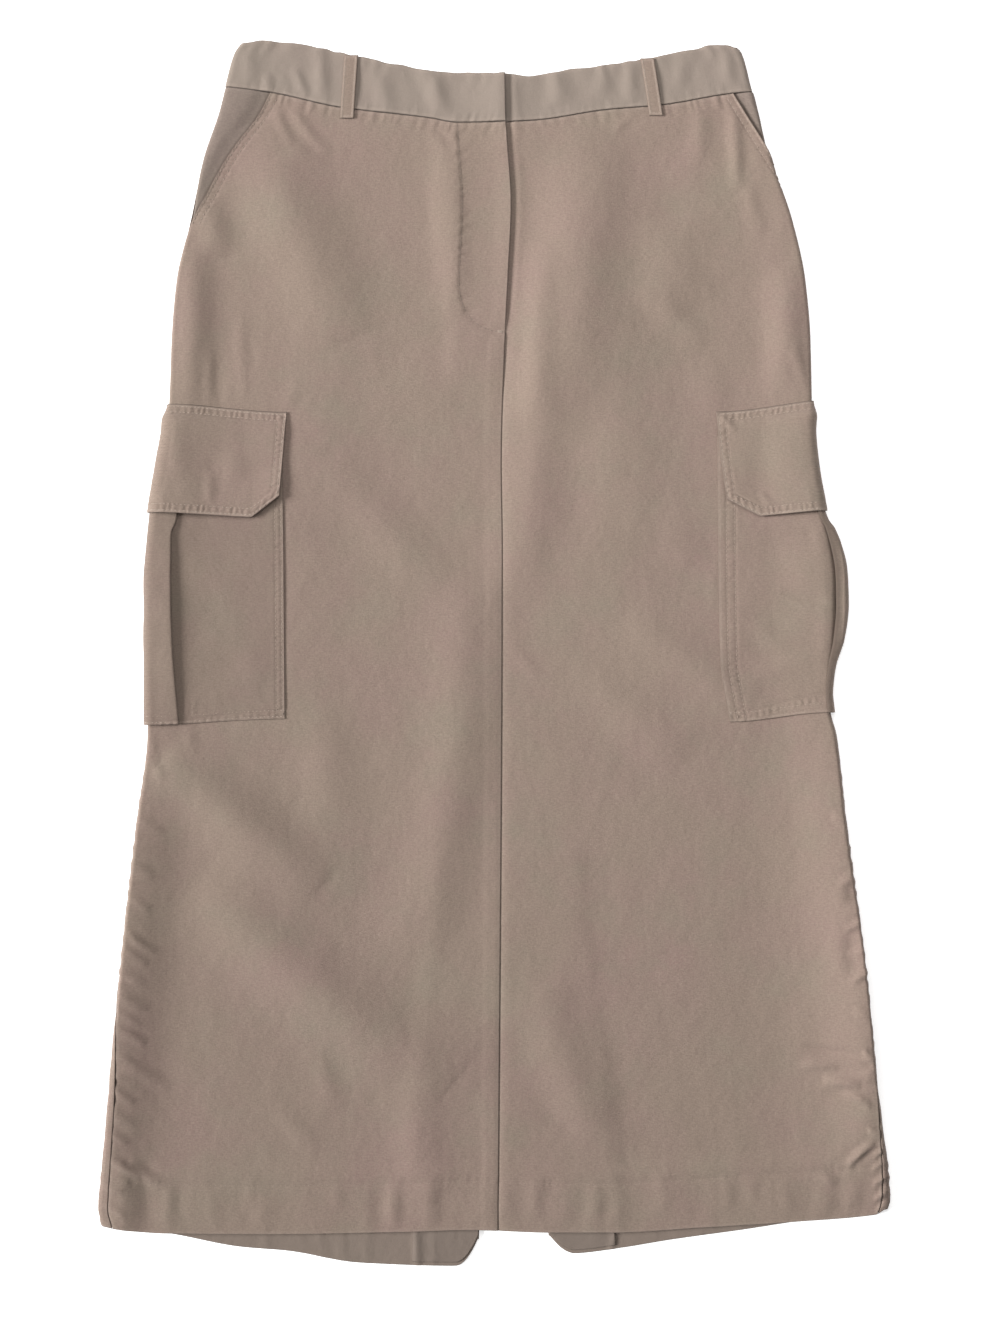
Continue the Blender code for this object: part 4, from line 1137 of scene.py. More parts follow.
@dataclass(frozen=True)
class ThreadFinish:
    """Sewing thread: two twisted plies."""

    name: str
    light: Colour
    dark: Colour
    # Colour of the painted shade on threads that lie deep in the cloth
    sunk_and_shaded: Colour = (0.075, 0.056, 0.044, 1.0)

    def build(self) -> bpy.types.Material:
        """Makes the material: the plies are slanted bands, wave = sin(bands of x + y)."""
        settings = {"Sheen Weight": 0.2, "Specular IOR Level": 0.35}
        material, graph, shader = new_material(self.name, settings)
        place = graph.node("ShaderNodeTexCoord", {}).outputs["Object"]
        inputs = {"Vector": place, "Scale": 900.0, "Distortion": 0.6, "Detail": 1.0}
        plies = graph.node("ShaderNodeTexWave", inputs, bands_direction="DIAGONAL").outputs["Fac"]
        twisted = graph.mix(plies, self.dark, self.light)
        # Threads that lie deep get painted shade
        graph.put(graph.mix(graph.mark("sunk_and_shaded"), twisted, self.sunk_and_shaded), shader["Base Color"])
        graph.put(graph.spread(plies, 0.0, 1.0, 0.8, 0.6), shader["Roughness"])
        graph.put(graph.bump(0.4, 0.0001, plies), shader["Normal"])
        return material


TWILL = ClothFinish(
    name="beige twill",
    ground=(0.228, 0.17, 0.134, 1.0),
    dark=(0.15, 0.11, 0.084, 1.0),
    light=(0.315, 0.244, 0.198, 1.0),
    warm=(0.238, 0.158, 0.138, 1.0),
    cool=(0.209, 0.177, 0.132, 1.0),
    worn=(0.39, 0.312, 0.26, 1.0),
    inner=(0.2, 0.158, 0.13, 1.0),
)
# The same twill, darker, for the facings, which lie in shade in the openings and the slit: painted shade
SHADED_FACING_TWILL = ClothFinish(
    name="beige twill facing in painted shade",
    ground=(0.19, 0.15, 0.124, 1.0),
    dark=(0.125, 0.097, 0.079, 1.0),
    light=(0.265, 0.213, 0.178, 1.0),
    warm=(0.196, 0.144, 0.125, 1.0),
    cool=(0.18, 0.151, 0.121, 1.0),
    worn=(0.32, 0.262, 0.222, 1.0),
    inner=(0.19, 0.15, 0.124, 1.0),
)
THREAD = ThreadFinish("beige thread", light=(0.43, 0.345, 0.285, 1.0), dark=(0.24, 0.185, 0.148, 1.0))


@dataclass
class Finishes:
    """All finishes, made once."""

    cloth: bpy.types.Material
    inner_cloth: bpy.types.Material
    thread: bpy.types.Material

    @classmethod
    def make(cls) -> "Finishes":
        """Makes the node groups and the materials."""
        groups = {
            "weave": twill_group(),
            "heather": heather_group(),
            "worn": worn_group(),
            "crumple": crumple_group(),
        }
        return cls(TWILL.build(groups), SHADED_FACING_TWILL.build(groups), THREAD.build())

    def of(self, slot: Slot) -> bpy.types.Material:
        """The material of a slot."""
        return self.cloth if slot == Slot.CLOTH else self.inner_cloth


# Pieces


class StitchRow(NamedTuple):
    """A row of stitches through a piece: q and down of the points that it follows, and its stitches.

    The last field says how deep they lie in the cloth and how much painted shade they get, as a share.
    """

    q: Array
    down: Array
    length: float = 2.3
    space: float = 0.8
    thread: float = 0.26
    sunk_and_shaded: float = 0.0


def hem_row(q: Array, down: Array) -> StitchRow:
    """A hem's row, of which only short dots show, far apart."""
    return StitchRow(q, down, length=0.9, space=2.6, thread=0.16)


@dataclass
class Cloth:
    """A piece of cloth on the tube: a grid of places between its four edges, with a wall.

    low and high are its first and last column's q, and top and bottom its first and last row's
    distance down, which are sought from first_rows on. Its edges are rounded like a turned edge over
    "edge" mm, by round_share of the wall on each face.
    """

    tube: Tube
    side: Side
    node: str
    columns: Lines
    rows: Lines
    rests_on: tuple[str, ...] = ("floor",)
    slot: Slot = Slot.CLOTH
    thickness: float = 1.0
    edge: float = 0.9
    worn: float = 0.5
    faded: float = 0.0
    # Painted shade along every edge: its strength, and how far in it reaches in mm
    edge_shade: float = 0.65
    shade_width: float = 0.75
    wear_place: float = 1.4
    wear_width: float = 0.8
    round_share: float = 0.42
    first_rows: tuple[float, float] = (60.0, 900.0)

    @property
    def name(self) -> str:
        """The piece's own name, after the node's that it stands for."""
        return f"{self.node}_cloth"

    def low(self, down: Array) -> Array:
        """q of the first column."""
        raise NotImplementedError

    def high(self, down: Array) -> Array:
        """q of the last column."""
        raise NotImplementedError

    def top(self, x: Array) -> Array:
        """Distance down of the first row: the waist seam, unless a piece starts elsewhere."""
        return self.tube.outline.waist_seam(x) + self.tube.seam

    def bottom(self, x: Array) -> Array:
        """Distance down of the last row."""
        raise NotImplementedError

    def out(self, q: Array, down: Array) -> Array:
        """How far the outer face lies outside the tube's, creases left out."""
        return 0.0 * q

    def wall(self, q: Array, down: Array) -> Array:
        """Thickness of the wall."""
        return self.thickness + 0.0 * q

    def stitches(self) -> list[StitchRow]:
        """The rows of stitches through the piece."""
        return []

    def end_rows(self, q: Array, down: Array) -> tuple[Array, Array]:
        """Distances down of the first and the last row, at each place."""
        x = self.tube.flat_x(self.side, q, down)
        return self.top(x), self.bottom(x)

    def places(self, rounds: int = 4) -> tuple[Array, Array]:
        """q and down of the grid's points. An edge follows x and x follows the height, in rounds."""
        first, last = self.first_rows
        down = self.rows.along(np.full((1, len(self.columns)), first), last)
        for _ in range(rounds):
            q = self.columns.across(self.low(down), self.high(down))
            down = self.rows.along(*self.end_rows(q, down))
        return q, down

    def from_sides(self, q: Array, down: Array) -> Array:
        """Distance of a place from the nearer side edge."""
        return np.minimum(q - self.low(down), self.high(down) - q)

    def inset(self, q: Array, down: Array) -> Array:
        """Distance of a place from the nearest edge."""
        first, last = self.end_rows(q, down)
        ends = np.minimum(down - first, last - down)
        return np.maximum(np.minimum(self.from_sides(q, down), ends), 0.0)

    def surface(self, q: Array, down: Array, above: Array = 0.0) -> Array:
        """Points of the outer face, or of a place above it."""
        return self.tube.point(self.side, q, down, self.out(q, down) + above)

    def shade(self, q: Array, down: Array, inset: Array) -> Array:
        """Painted shade at a place, from 0 to 1: dark where it lies in a seam or under an edge."""
        return self.edge_shade * (1 - ease(inset / self.shade_width))

    def rounding(self, inset: Array) -> Array:
        """How far both faces come together at an edge, in shares of the wall: a quarter circle."""
        short = np.clip(1 - inset / self.edge, 0, 1)
        return self.round_share * (1 - np.sqrt(1 - short**2))

    def flat(self, q: Array, down: Array) -> Array:
        """The cloth's own coordinates, which follow its grain: x with the fold opened out, and down."""
        back = np.sign(np.mean(q))
        along = self.tube.fold(self.side, down) - self.side * back * (q - back * 1.6)
        return np.stack([along, down], -1)

    def shape(self) -> tuple[Array, Array, Array, Array, Array]:
        """Outer and inner points, cloth coordinates, distances from the nearest edge, and painted shades.
        """
        q, down = self.places()
        inset = self.inset(q, down)
        wall = self.wall(q, down)
        drop = self.rounding(inset) * wall
        outer = self.surface(q, down, -drop)
        inner = self.surface(q, down, drop - wall)
        return outer, inner, self.flat(q, down), inset, self.shade(q, down, inset)

    def build(self, finishes: Finishes) -> bpy.types.Object:
        """Args:
            finishes: the materials.

        Returns:
            The piece's object.
        """
        outer, inner, flat, inset, shade = self.shape()
        rows, columns = outer.shape[:2]
        face = grid_faces(rows, columns)
        faces = np.concatenate([face, face[:, ::-1] + rows * columns, wall_faces(rows, columns)])
        if not facing_out(outer, inner):
            faces = faces[:, ::-1]
        wear = groove(inset - self.wear_place, self.wear_width) * self.worn
        marks = {
            "wear": np.tile(wear.ravel(), 2),
            # Painted shade in seams, along edges and in the pleats' depth
            "painted_shade": np.tile(shade.ravel(), 2),
            "inside": np.repeat([0.0, 1.0], rows * columns),
            "faded": np.full(2 * rows * columns, self.faded),
        }
        points = np.concatenate([outer.reshape(-1, 3), inner.reshape(-1, 3)])
        obj = new_piece(self.name, points, [faces], np.tile(flat.reshape(-1, 2), (2, 1)), marks)
        obj.data.materials.append(finishes.of(self.slot))
        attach(obj, ROOT)
        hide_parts(self.node)
        sewn = [self.sew(finishes)] if self.stitches() else []
        return obj

    def sew(self, finishes: Finishes) -> bpy.types.Object:
        found = self.stitches()
        threads = [self.threads(row) for row in found]
        each = [part.size // 3 for part in threads]
        sunk_and_shaded = np.repeat([row.sunk_and_shaded for row in found], each)
        threads = np.concatenate(threads)
        count, rings, sides = threads.shape[:3]
        index = np.arange(rings * sides).reshape(rings, sides)
        ahead = np.roll(index, -1, axis=1)
        tube = np.stack([index[:-1], index[1:], ahead[1:], ahead[:-1]], -1).reshape(-1, 4)
        ends = np.stack([index[0], index[-1, ::-1]])
        first = (np.arange(count) * rings * sides)[:, None, None]
        faces = [(part[None] + first).reshape(-1, part.shape[1]) for part in (tube, ends)]
        points = threads.reshape(-1, 3)
        obj = new_piece(f"{self.node}_stitches", points, faces, points[:, :2], {"sunk_and_shaded": sunk_and_shaded})
        obj.data.materials.append(finishes.thread)
        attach(obj, ROOT)
        LOG.info("%s: %d stitches", obj.name, count)
        return obj

    def threads(self, row: StitchRow, rings: int = 4, sides: int = 5, sink: float = 0.14) -> Array:
        """Points of a row's threads: stitches by rings by sides.

        Each stitch is an arc that starts and ends in the cloth, height = 1.5 thread sin(pi t) - sink,
        with a round section that narrows at both ends.

        Args:
            row: what it follows.
            rings: rings of points along a stitch.
            sides: points round it.
            sink: how far its ends lie in the cloth.

        Returns:
            The points, in mm.
        """
        run = np.concatenate([[0.0], np.cumsum(np.hypot(np.diff(row.q), np.diff(row.down)))])
        count = max(1, int(run[-1] / (row.length + row.space)))
        pitch = run[-1] / count
        t = np.linspace(0, 1, rings)
        at = (np.arange(count) * pitch)[:, None] + t * (pitch - row.space)
        q, down = np.interp(at, run, row.q), np.interp(at, run, row.down)
        above = 1.5 * row.thread * (1 - row.sunk_and_shaded) * np.sin(math.pi * t) - sink + 0 * at
        middle = self.surface(q, down, above)
        up = middle - self.surface(q, down, above - 1.0)
        up /= np.linalg.norm(up, axis=-1, keepdims=True)
        forwards = np.gradient(middle, axis=1)
        forwards /= np.linalg.norm(forwards, axis=-1, keepdims=True)
        aside = np.cross(forwards, up)
        turn = (np.arange(sides) / sides * 2 * math.pi)[:, None]
        radius = row.thread * (0.5 + 0.5 * np.sin(math.pi * t))[None, :, None, None]
        ring = aside[:, :, None] * np.cos(turn) + up[:, :, None] * np.sin(turn)
        return middle[:, :, None] + radius * ring


def straight(start: float, end: float, pitch: float = 1.0) -> Array:
    """Even places from one number to another."""
    return np.linspace(start, end, max(2, round(abs(end - start) / pitch) + 1))


# The panels


@dataclass
class FrontPanel(Cloth):
    """A front, from the centre to the pocket opening and the side seam."""

    waist: Pucker = Pucker(8.0, 0.6, 3.0, 11.0, 0.7)
    opening: Pucker = Pucker(5.8, 0.7, 5.4, 5.4, 1.9, 0.5)
    fly: Pucker = Pucker(11.0, 0.35, 0.0, 9.0, 2.6)
    hem_small: Pucker = Pucker(8.0, 0.2, 0.0, 7.0, 0.4)
    hem_wide: Pucker = Pucker(34.0, 0.6, 19.0, 24.0, 1.3)
    fly_width: float = 37.0
    curve_start: float = 179.0
    curve_power: float = 2.2
    opening_rows: tuple[float, ...] = (1.6, 7.0)
    tack_span: tuple[float, float] = (-6.5, -0.6)
    tack_above: float = 1.2
    tack_steps: tuple[float, ...] = (0.0, 0.45, 0.9, 1.35)

    def under(self, down: Array) -> Array:
        """Width of the right front that runs on under the fly."""
        wide = self.tube.lap * (1 - Fade(-18.0, 18.0).at(down - self.tube.fly_end))
        return wide if self.side == Side.RIGHT else 0.0 * down

    def low(self, down: Array) -> Array:
        """The centre seam, where the left half just laps over the right one, or the edge under the fly."""
        lap = -0.12 * self.side
        edge = self.tube.outline.centre_front(down) + lap - self.under(down)
        return self.tube.front_q(self.side, edge, down)

    def high(self, down: Array) -> Array:
        """The slanted opening, then the side seam."""
        return self.tube.opening(self.side, down) - self.tube.seam

    def bottom(self, x: Array) -> Array:
        """The hem."""
        return self.tube.outline.front_hem(x)

    def from_fly_row(self, left: Array, down: Array) -> Array:
        """About the distance outside the fly's J-shaped row, from (left / width)^p + (drop / length)^p = 1.

        Args:
            left: distance to the left of the centre.
            down: below the waistband's top.

        Returns:
            The distance, negative inside the fly.
        """
        length = self.tube.fly_end - self.curve_start
        across = np.maximum(left, 0.0) / self.fly_width
        drop = np.maximum(down - self.curve_start, 0.0) / length
        return (across**self.curve_power + drop**self.curve_power - 1) * 17.5

    def out(self, q: Array, down: Array) -> Array:
        """The under layer lies lower; rows of stitches press into the cloth and pucker it."""
        tube = self.tube
        x = tube.flat_x(self.side, q, down)
        to_right = x - tube.outline.centre_front(down)
        below_fly = Fade(0.0, 12.0).at(down - tube.fly_end)
        height = -0.45 * groove(to_right, 1.8) * below_fly
        if self.side == Side.RIGHT:
            depth = blend(1.3, 0.5, Fade(20.0, 35.0).at(down - tube.fly_end))
            height = height - depth * (1 - Fade(0.5, 7.5).at(to_right))
        else:
            from_row = self.from_fly_row(-to_right, down)
            drawn_in = (1 - Fade(-0.6, 2.6).at(from_row)) * Fade(-9.0, 8.5).at(from_row)
            height = height - 0.6 * drawn_in + self.fly.at(down - 0.5 * q, from_row)
            height = height + tube.fly_edge(down) * groove(to_right, 9.0)
            height = height + 0.3 * Fade(-13.0, 2.5).at(to_right) * below_fly
        height = height + self.waist.at(q, down - self.top(x))
        in_opening = 1 - Fade(128.0, 14.0).at(down)
        from_side = tube.opening(self.side, down) - q
        puckers = self.opening.at(down * 1.25, from_side) + 0.8 * groove(from_side, 2.0)
        pressed = 0.3 * groove(from_side - 1.9, 0.8) + 0.4 * groove(from_side - 7.3, 1.1)
        height = height + in_opening * (puckers - pressed)
        above_hem = self.bottom(x) - down
        height = height + self.hem_wide.at(q, above_hem)
        height = height + self.hem_small.at(q, above_hem - tube.hem_depth)
        turned = 1 - Fade(-1.5, 2.0).at(above_hem - tube.hem_depth)
        return height + 0.25 * turned - 0.65 * groove(above_hem - tube.hem_depth + 1.0, 1.5)

    def wall(self, q: Array, down: Array) -> Array:
        """The hem is turned up once, so it is nearly twice as thick."""
        above_hem = self.bottom(self.tube.flat_x(self.side, q, down)) - down
        return self.tube.by_hem(self.tube.hem_wall, self.thickness, above_hem)

    def stitches(self) -> list[StitchRow]:
        """The hem, the slanted opening, and the fly's J and bar tack."""
        tube, line = self.tube, self.tube.outline
        upright = straight(44.0, 140.0)
        rows = []
        for inset in self.opening_rows:
            q = tube.opening(self.side, upright) - inset
            shown = upright > line.waist_seam(tube.flat_x(self.side, q, upright)) + 1.0
            rows.append(StitchRow(q[shown], upright[shown]))
        edge = tube.fold(self.side, np.float64(860.0))
        x = straight(float(line.centre_front(880.0)) + 2.0 * self.side, float(edge) - 4.0 * self.side)
        down = line.front_hem(x) - tube.hem_depth + 1.0
        rows.append(hem_row(tube.front_q(self.side, x, down), down))
        if self.side == Side.LEFT:
            rows += self.fly_stitches()
        return rows

    def fly_stitches(self) -> list[StitchRow]:
        """The J, and a bar tack of close stitches across its end."""
        tube = self.tube
        length = tube.fly_end - self.curve_start
        turn = np.linspace(0.0, math.pi / 2, 40)
        left = self.fly_width * np.cos(turn) ** (2 / self.curve_power)
        drop = self.curve_start + length * np.sin(turn) ** (2 / self.curve_power)
        start = straight(63.5, self.curve_start)
        down = np.concatenate([start[:-1], drop])
        left = np.concatenate([np.full(len(start) - 1, self.fly_width), left])
        x = tube.outline.centre_front(down) - left
        # The J's threads lie deep and get painted shade
        rows = [StitchRow(tube.front_q(self.side, x, down), down, length=2.7, space=0.25, sunk_and_shaded=0.6)]
        across = straight(*self.tack_span)
        for step in self.tack_steps:
            height = np.full_like(across, tube.fly_end - self.tack_above + step)
            q = tube.front_q(self.side, tube.outline.centre_front(height) + across, height)
            rows.append(StitchRow(q, height, length=5.4, space=0.3, thread=0.24))
        return rows


@dataclass
class BackPanel(Cloth):
    """A back, from the side seam to the centre back seam and the slit below it."""

    hem_wide: Pucker = Pucker(31.0, 0.3, 19.0, 24.0, 2.3)
    hem_small: Pucker = Pucker(8.0, 0.12, 0.0, 7.0, 1.4)

    def low(self, down: Array) -> Array:
        """The side seam."""
        return self.tube.outline.side_seams[self.side](down) + self.tube.seam

    def high(self, down: Array) -> Array:
        """The centre back seam, then the slit's edge."""
        return self.tube.back_edge(self.side, down)

    def hem(self, x: Array) -> Array:
        """The hem, before its corner is rounded."""
        return self.tube.outline.back_hems[self.side](x)

    def bottom(self, x: Array) -> Array:
        """The hem, with its corner rounded beside the slit."""
        return self.tube.back_bottom(self.side, x)

    def out(self, q: Array, down: Array) -> Array:
        """Waves in the hem, on the flat part only. They rise into the tube."""
        above_hem = self.hem(self.tube.flat_x(self.side, q, down)) - down
        waves = self.hem_wide.at(q, above_hem) + self.hem_small.at(q, above_hem - self.tube.hem_depth)
        return -np.abs(waves) * Fade(self.tube.arc, 12.0).at(q)

    def wall(self, q: Array, down: Array) -> Array:
        """The hem is turned up once."""
        above_hem = self.hem(self.tube.flat_x(self.side, q, down)) - down
        return self.tube.by_hem(self.tube.hem_wall, self.thickness, above_hem)

    def stitches(self) -> list[StitchRow]:
        """The hem's row."""
        tube = self.tube
        edge = float(tube.fold(self.side, np.float64(870.0))) - 8.0 * self.side
        middle = float(tube.centre_back(self.side, np.float64(890.0))) + 3.0 * self.side
        x = straight(middle, edge)
        down = self.hem(x) - tube.hem_depth + 1.0
        return [hem_row(tube.back_q(self.side, x, down), down)]


@dataclass
class Waistband(Cloth):
    """Half of the band, from the centre front round the fold to the centre back."""

    seam: Pucker = Pucker(6.4, 0.5, 2.5, 8.0, 0.3, 0.6)
    upper: Pucker = Pucker(17.0, 0.6, 0.0, 18.0, 1.1)
    edge_waves: Pucker = Pucker(21.0, 0.6, 0.0, 1.0, 0.5)

    def low(self, down: Array) -> Array:
        """The centre front, or the end of the tab under the left half."""
        under = self.tube.lap if self.side == Side.RIGHT else 0.0
        return self.tube.front_q(self.side, self.tube.outline.centre_front(down) - under, down)

    def high(self, down: Array) -> Array:
        """The centre back."""
        return self.tube.back_edge(self.side, down)

    def top(self, x: Array) -> Array:
        """The band's upper edge, which isn't quite even."""
        return self.tube.outline.band_top(x) + self.edge_waves.at(x, 0.0)

    def bottom(self, x: Array) -> Array:
        """The waist seam."""
        return self.tube.outline.waist_seam(x) - self.tube.seam

    def tab(self, q: Array, down: Array) -> Array:
        """1 on the part of the right half that lies under the left half."""
        x = self.tube.flat_x(self.side, q, down)
        beside = 1 - Fade(0.5, 7.5).at(x - self.tube.outline.centre_front(down))
        return np.where(q < 0, beside, 0.0) if self.side == Side.RIGHT else 0.0 * q

    def out(self, q: Array, down: Array) -> Array:
        """Proud of the panels, with puckers above the seam and short creases on the front."""
        x = self.tube.flat_x(self.side, q, down)
        puckers = self.seam.at(q, self.bottom(x) - down) + self.upper.at(q, down - self.top(x))
        flat = self.tube.on_front(q)
        relief = self.tube.band_creased(self.side, q, down) + flat * puckers
        if self.side == Side.LEFT:
            from_edge = x - self.tube.outline.centre_front(down)
            relief = relief + flat * self.tube.fly_edge(down) * groove(from_edge, 9.0)
        return blend(0.5, -2.0, self.tab(q, down)) + relief

    def wall(self, q: Array, down: Array) -> Array:
        """Thinner at the tab."""
        return blend(self.thickness, 1.5, self.tab(q, down))


@dataclass
class HipFacing(Cloth):
    """The side of the hip in a slanted opening, which runs on under the front."""

    def low(self, down: Array) -> Array:
        """Its edge under the front."""
        return self.tube.opening(self.side, down) - 25.0

    def high(self, down: Array) -> Array:
        """The side seam."""
        return self.tube.outline.side_seams[self.side](down) - self.tube.seam

    def bottom(self, x: Array) -> Array:
        """Its lower end, under the front."""
        return self.tube.facing_end + 0.0 * x

    def out(self, q: Array, down: Array) -> Array:
        """Under the front. In the opening it swells above the panel's level, and ends level at the seam."""
        up = Fade(1.0, 15.0).at(q - self.tube.opening(self.side, down))
        at_seam = 1 - Fade(0.0, 10.0).at(self.high(down) - q)
        swelling = (1 - at_seam) * (1 - Fade(104.0, 26.0).at(down))
        return blend(-1.3, swelling, up * (1 - Fade(118.0, 16.0).at(down)))

    def shade(self, q: Array, down: Array, inset: Array) -> Array:
        """Painted shade beside the opening's edge too, where the front's edge shades the facing."""
        beside = 0.9 * groove(q - self.tube.opening(self.side, down) - 0.7, 1.3)
        return np.maximum(super().shade(q, down, inset), beside)


@dataclass
class VentFacing(Cloth):
    """The turned edge of the slit, on the inside of a back."""

    def high(self, down: Array) -> Array:
        """Just inside the slit's edge."""
        return self.tube.back_edge(self.side, down) - 0.5

    def low(self, down: Array) -> Array:
        """Its inner edge."""
        return self.high(down) - self.tube.vent_width

    def top(self, x: Array) -> Array:
        """Just above the slit."""
        return self.tube.vent_top - 12.0 + 0.0 * x

    def bottom(self, x: Array) -> Array:
        """Just above the back's hem."""
        return self.tube.back_bottom(self.side, x) - 3.0

    def out(self, q: Array, down: Array) -> Array:
        """On the inner face of the back, which is thicker in the hem."""
        tube = self.tube
        above_hem = tube.outline.back_hems[self.side](tube.flat_x(self.side, q, down)) - down
        return -tube.by_hem(2.2, 1.3, above_hem)


# Cargo pockets


@dataclass(frozen=True)
class CargoSizes:
    """One cargo pocket and its flap. "at_fold" is at the skirt's outline, else at the front edge."""

    underfold: float
    pocket_edge: Curve
    pocket_bottom: float
    pocket_bottom_at_fold: float
    strip_edge: Curve
    strip_rise: float
    panel_swell: float
    bulge: Curve
    flap_edge: Curve
    flap_top: float
    flap_top_at_fold: float
    flap_side_bottom: float
    flap_bottom: float
    flap_bottom_at_fold: float
    corner_cut: float
    flap_stand: float
    edge_rows: tuple[float, ...]
    bottom_rows: tuple[float, ...]
    ladders: tuple[float, float]
    # How far the painted shade reaches into the pleat's depth, on the panel and on the strip
    pleat_shade: tuple[float, float] = (0.1, 0.1)
    pleat_slide: float = 0.0
    # An even painted shade over the whole pocket
    painted_pocket_shade: float = 0.0
    flap_rows: tuple[float, ...] = (1.9, 6.5)


CARGO = {
    Side.LEFT: CargoSizes(
        underfold=10.0,
        pocket_edge=Curve((282, -160.5), (515, -158.7)),
        pocket_bottom=515.3,
        pocket_bottom_at_fold=519.8,
        strip_edge=Curve(
            *((300, -20.5), (364, -19.7), (374, -17.1), (396, -18.6), (434, -19.6), (461, -20.8)),
            *((488, -23.0), (515, -25.4)),
        ),
        strip_rise=2.6,
        panel_swell=0.0,
        bulge=Curve((360, 0), (520, 0)),
        flap_edge=Curve((282, -157.1), (345.8, -162.4)),
        flap_top=282.0,
        flap_top_at_fold=275.9,
        flap_side_bottom=345.8,
        flap_bottom=362.5,
        flap_bottom_at_fold=358.7,
        corner_cut=21.0,
        flap_stand=2.6,
        edge_rows=(1.9, 6.5),
        bottom_rows=(1.9, 6.5),
        ladders=(4.2, 4.2),
        # The left pocket gets an even painted shade all over
        painted_pocket_shade=0.18,
    ),
    Side.RIGHT: CargoSizes(
        underfold=3.35,
        pocket_edge=Curve((282, 169.5), (423, 171), (470, 172), (517.6, 179.6)),
        pocket_bottom=517.6,
        pocket_bottom_at_fold=510.3,
        strip_edge=Curve((300, -4.0), (520, -4.0)),
        strip_rise=0.0,
        panel_swell=0.6,
        bulge=Curve(
            *((357, 0), (364, 2.3), (370, 6.0), (387, 10.3), (401, 12.1), (427, 12.6), (455, 9.4)),
            *((478, 3.2), (490, 1.2), (500, 0)),
        ),
        flap_edge=Curve((281.6, 168.9), (313, 171.9), (348, 176.5)),
        flap_top=281.6,
        flap_top_at_fold=272.1,
        flap_side_bottom=348.1,
        flap_bottom=362.5,
        flap_bottom_at_fold=356.4,
        corner_cut=25.8,
        flap_stand=1.5,
        edge_rows=(6.5, 12.9),
        bottom_rows=(7.0,),
        ladders=(9.7, 3.6),
        pleat_shade=(3.0, 1.0),
        pleat_slide=6.0,
    ),
}


def pressed(distance: Array) -> Array:
    """How deep a row of stitches presses into a cargo pocket or its flap."""
    return 0.36 * groove(distance, 0.9)


@dataclass
class CargoPiece(Cloth):
    """A cargo pocket or its flap."""

    @property
    def sizes(self) -> CargoSizes:
        """This side's sizes."""
        return CARGO[self.side]

    @property
    def rear(self) -> float:
        """q of the pocket's rear edge."""
        return self.tube.pocket_rear(self.side)


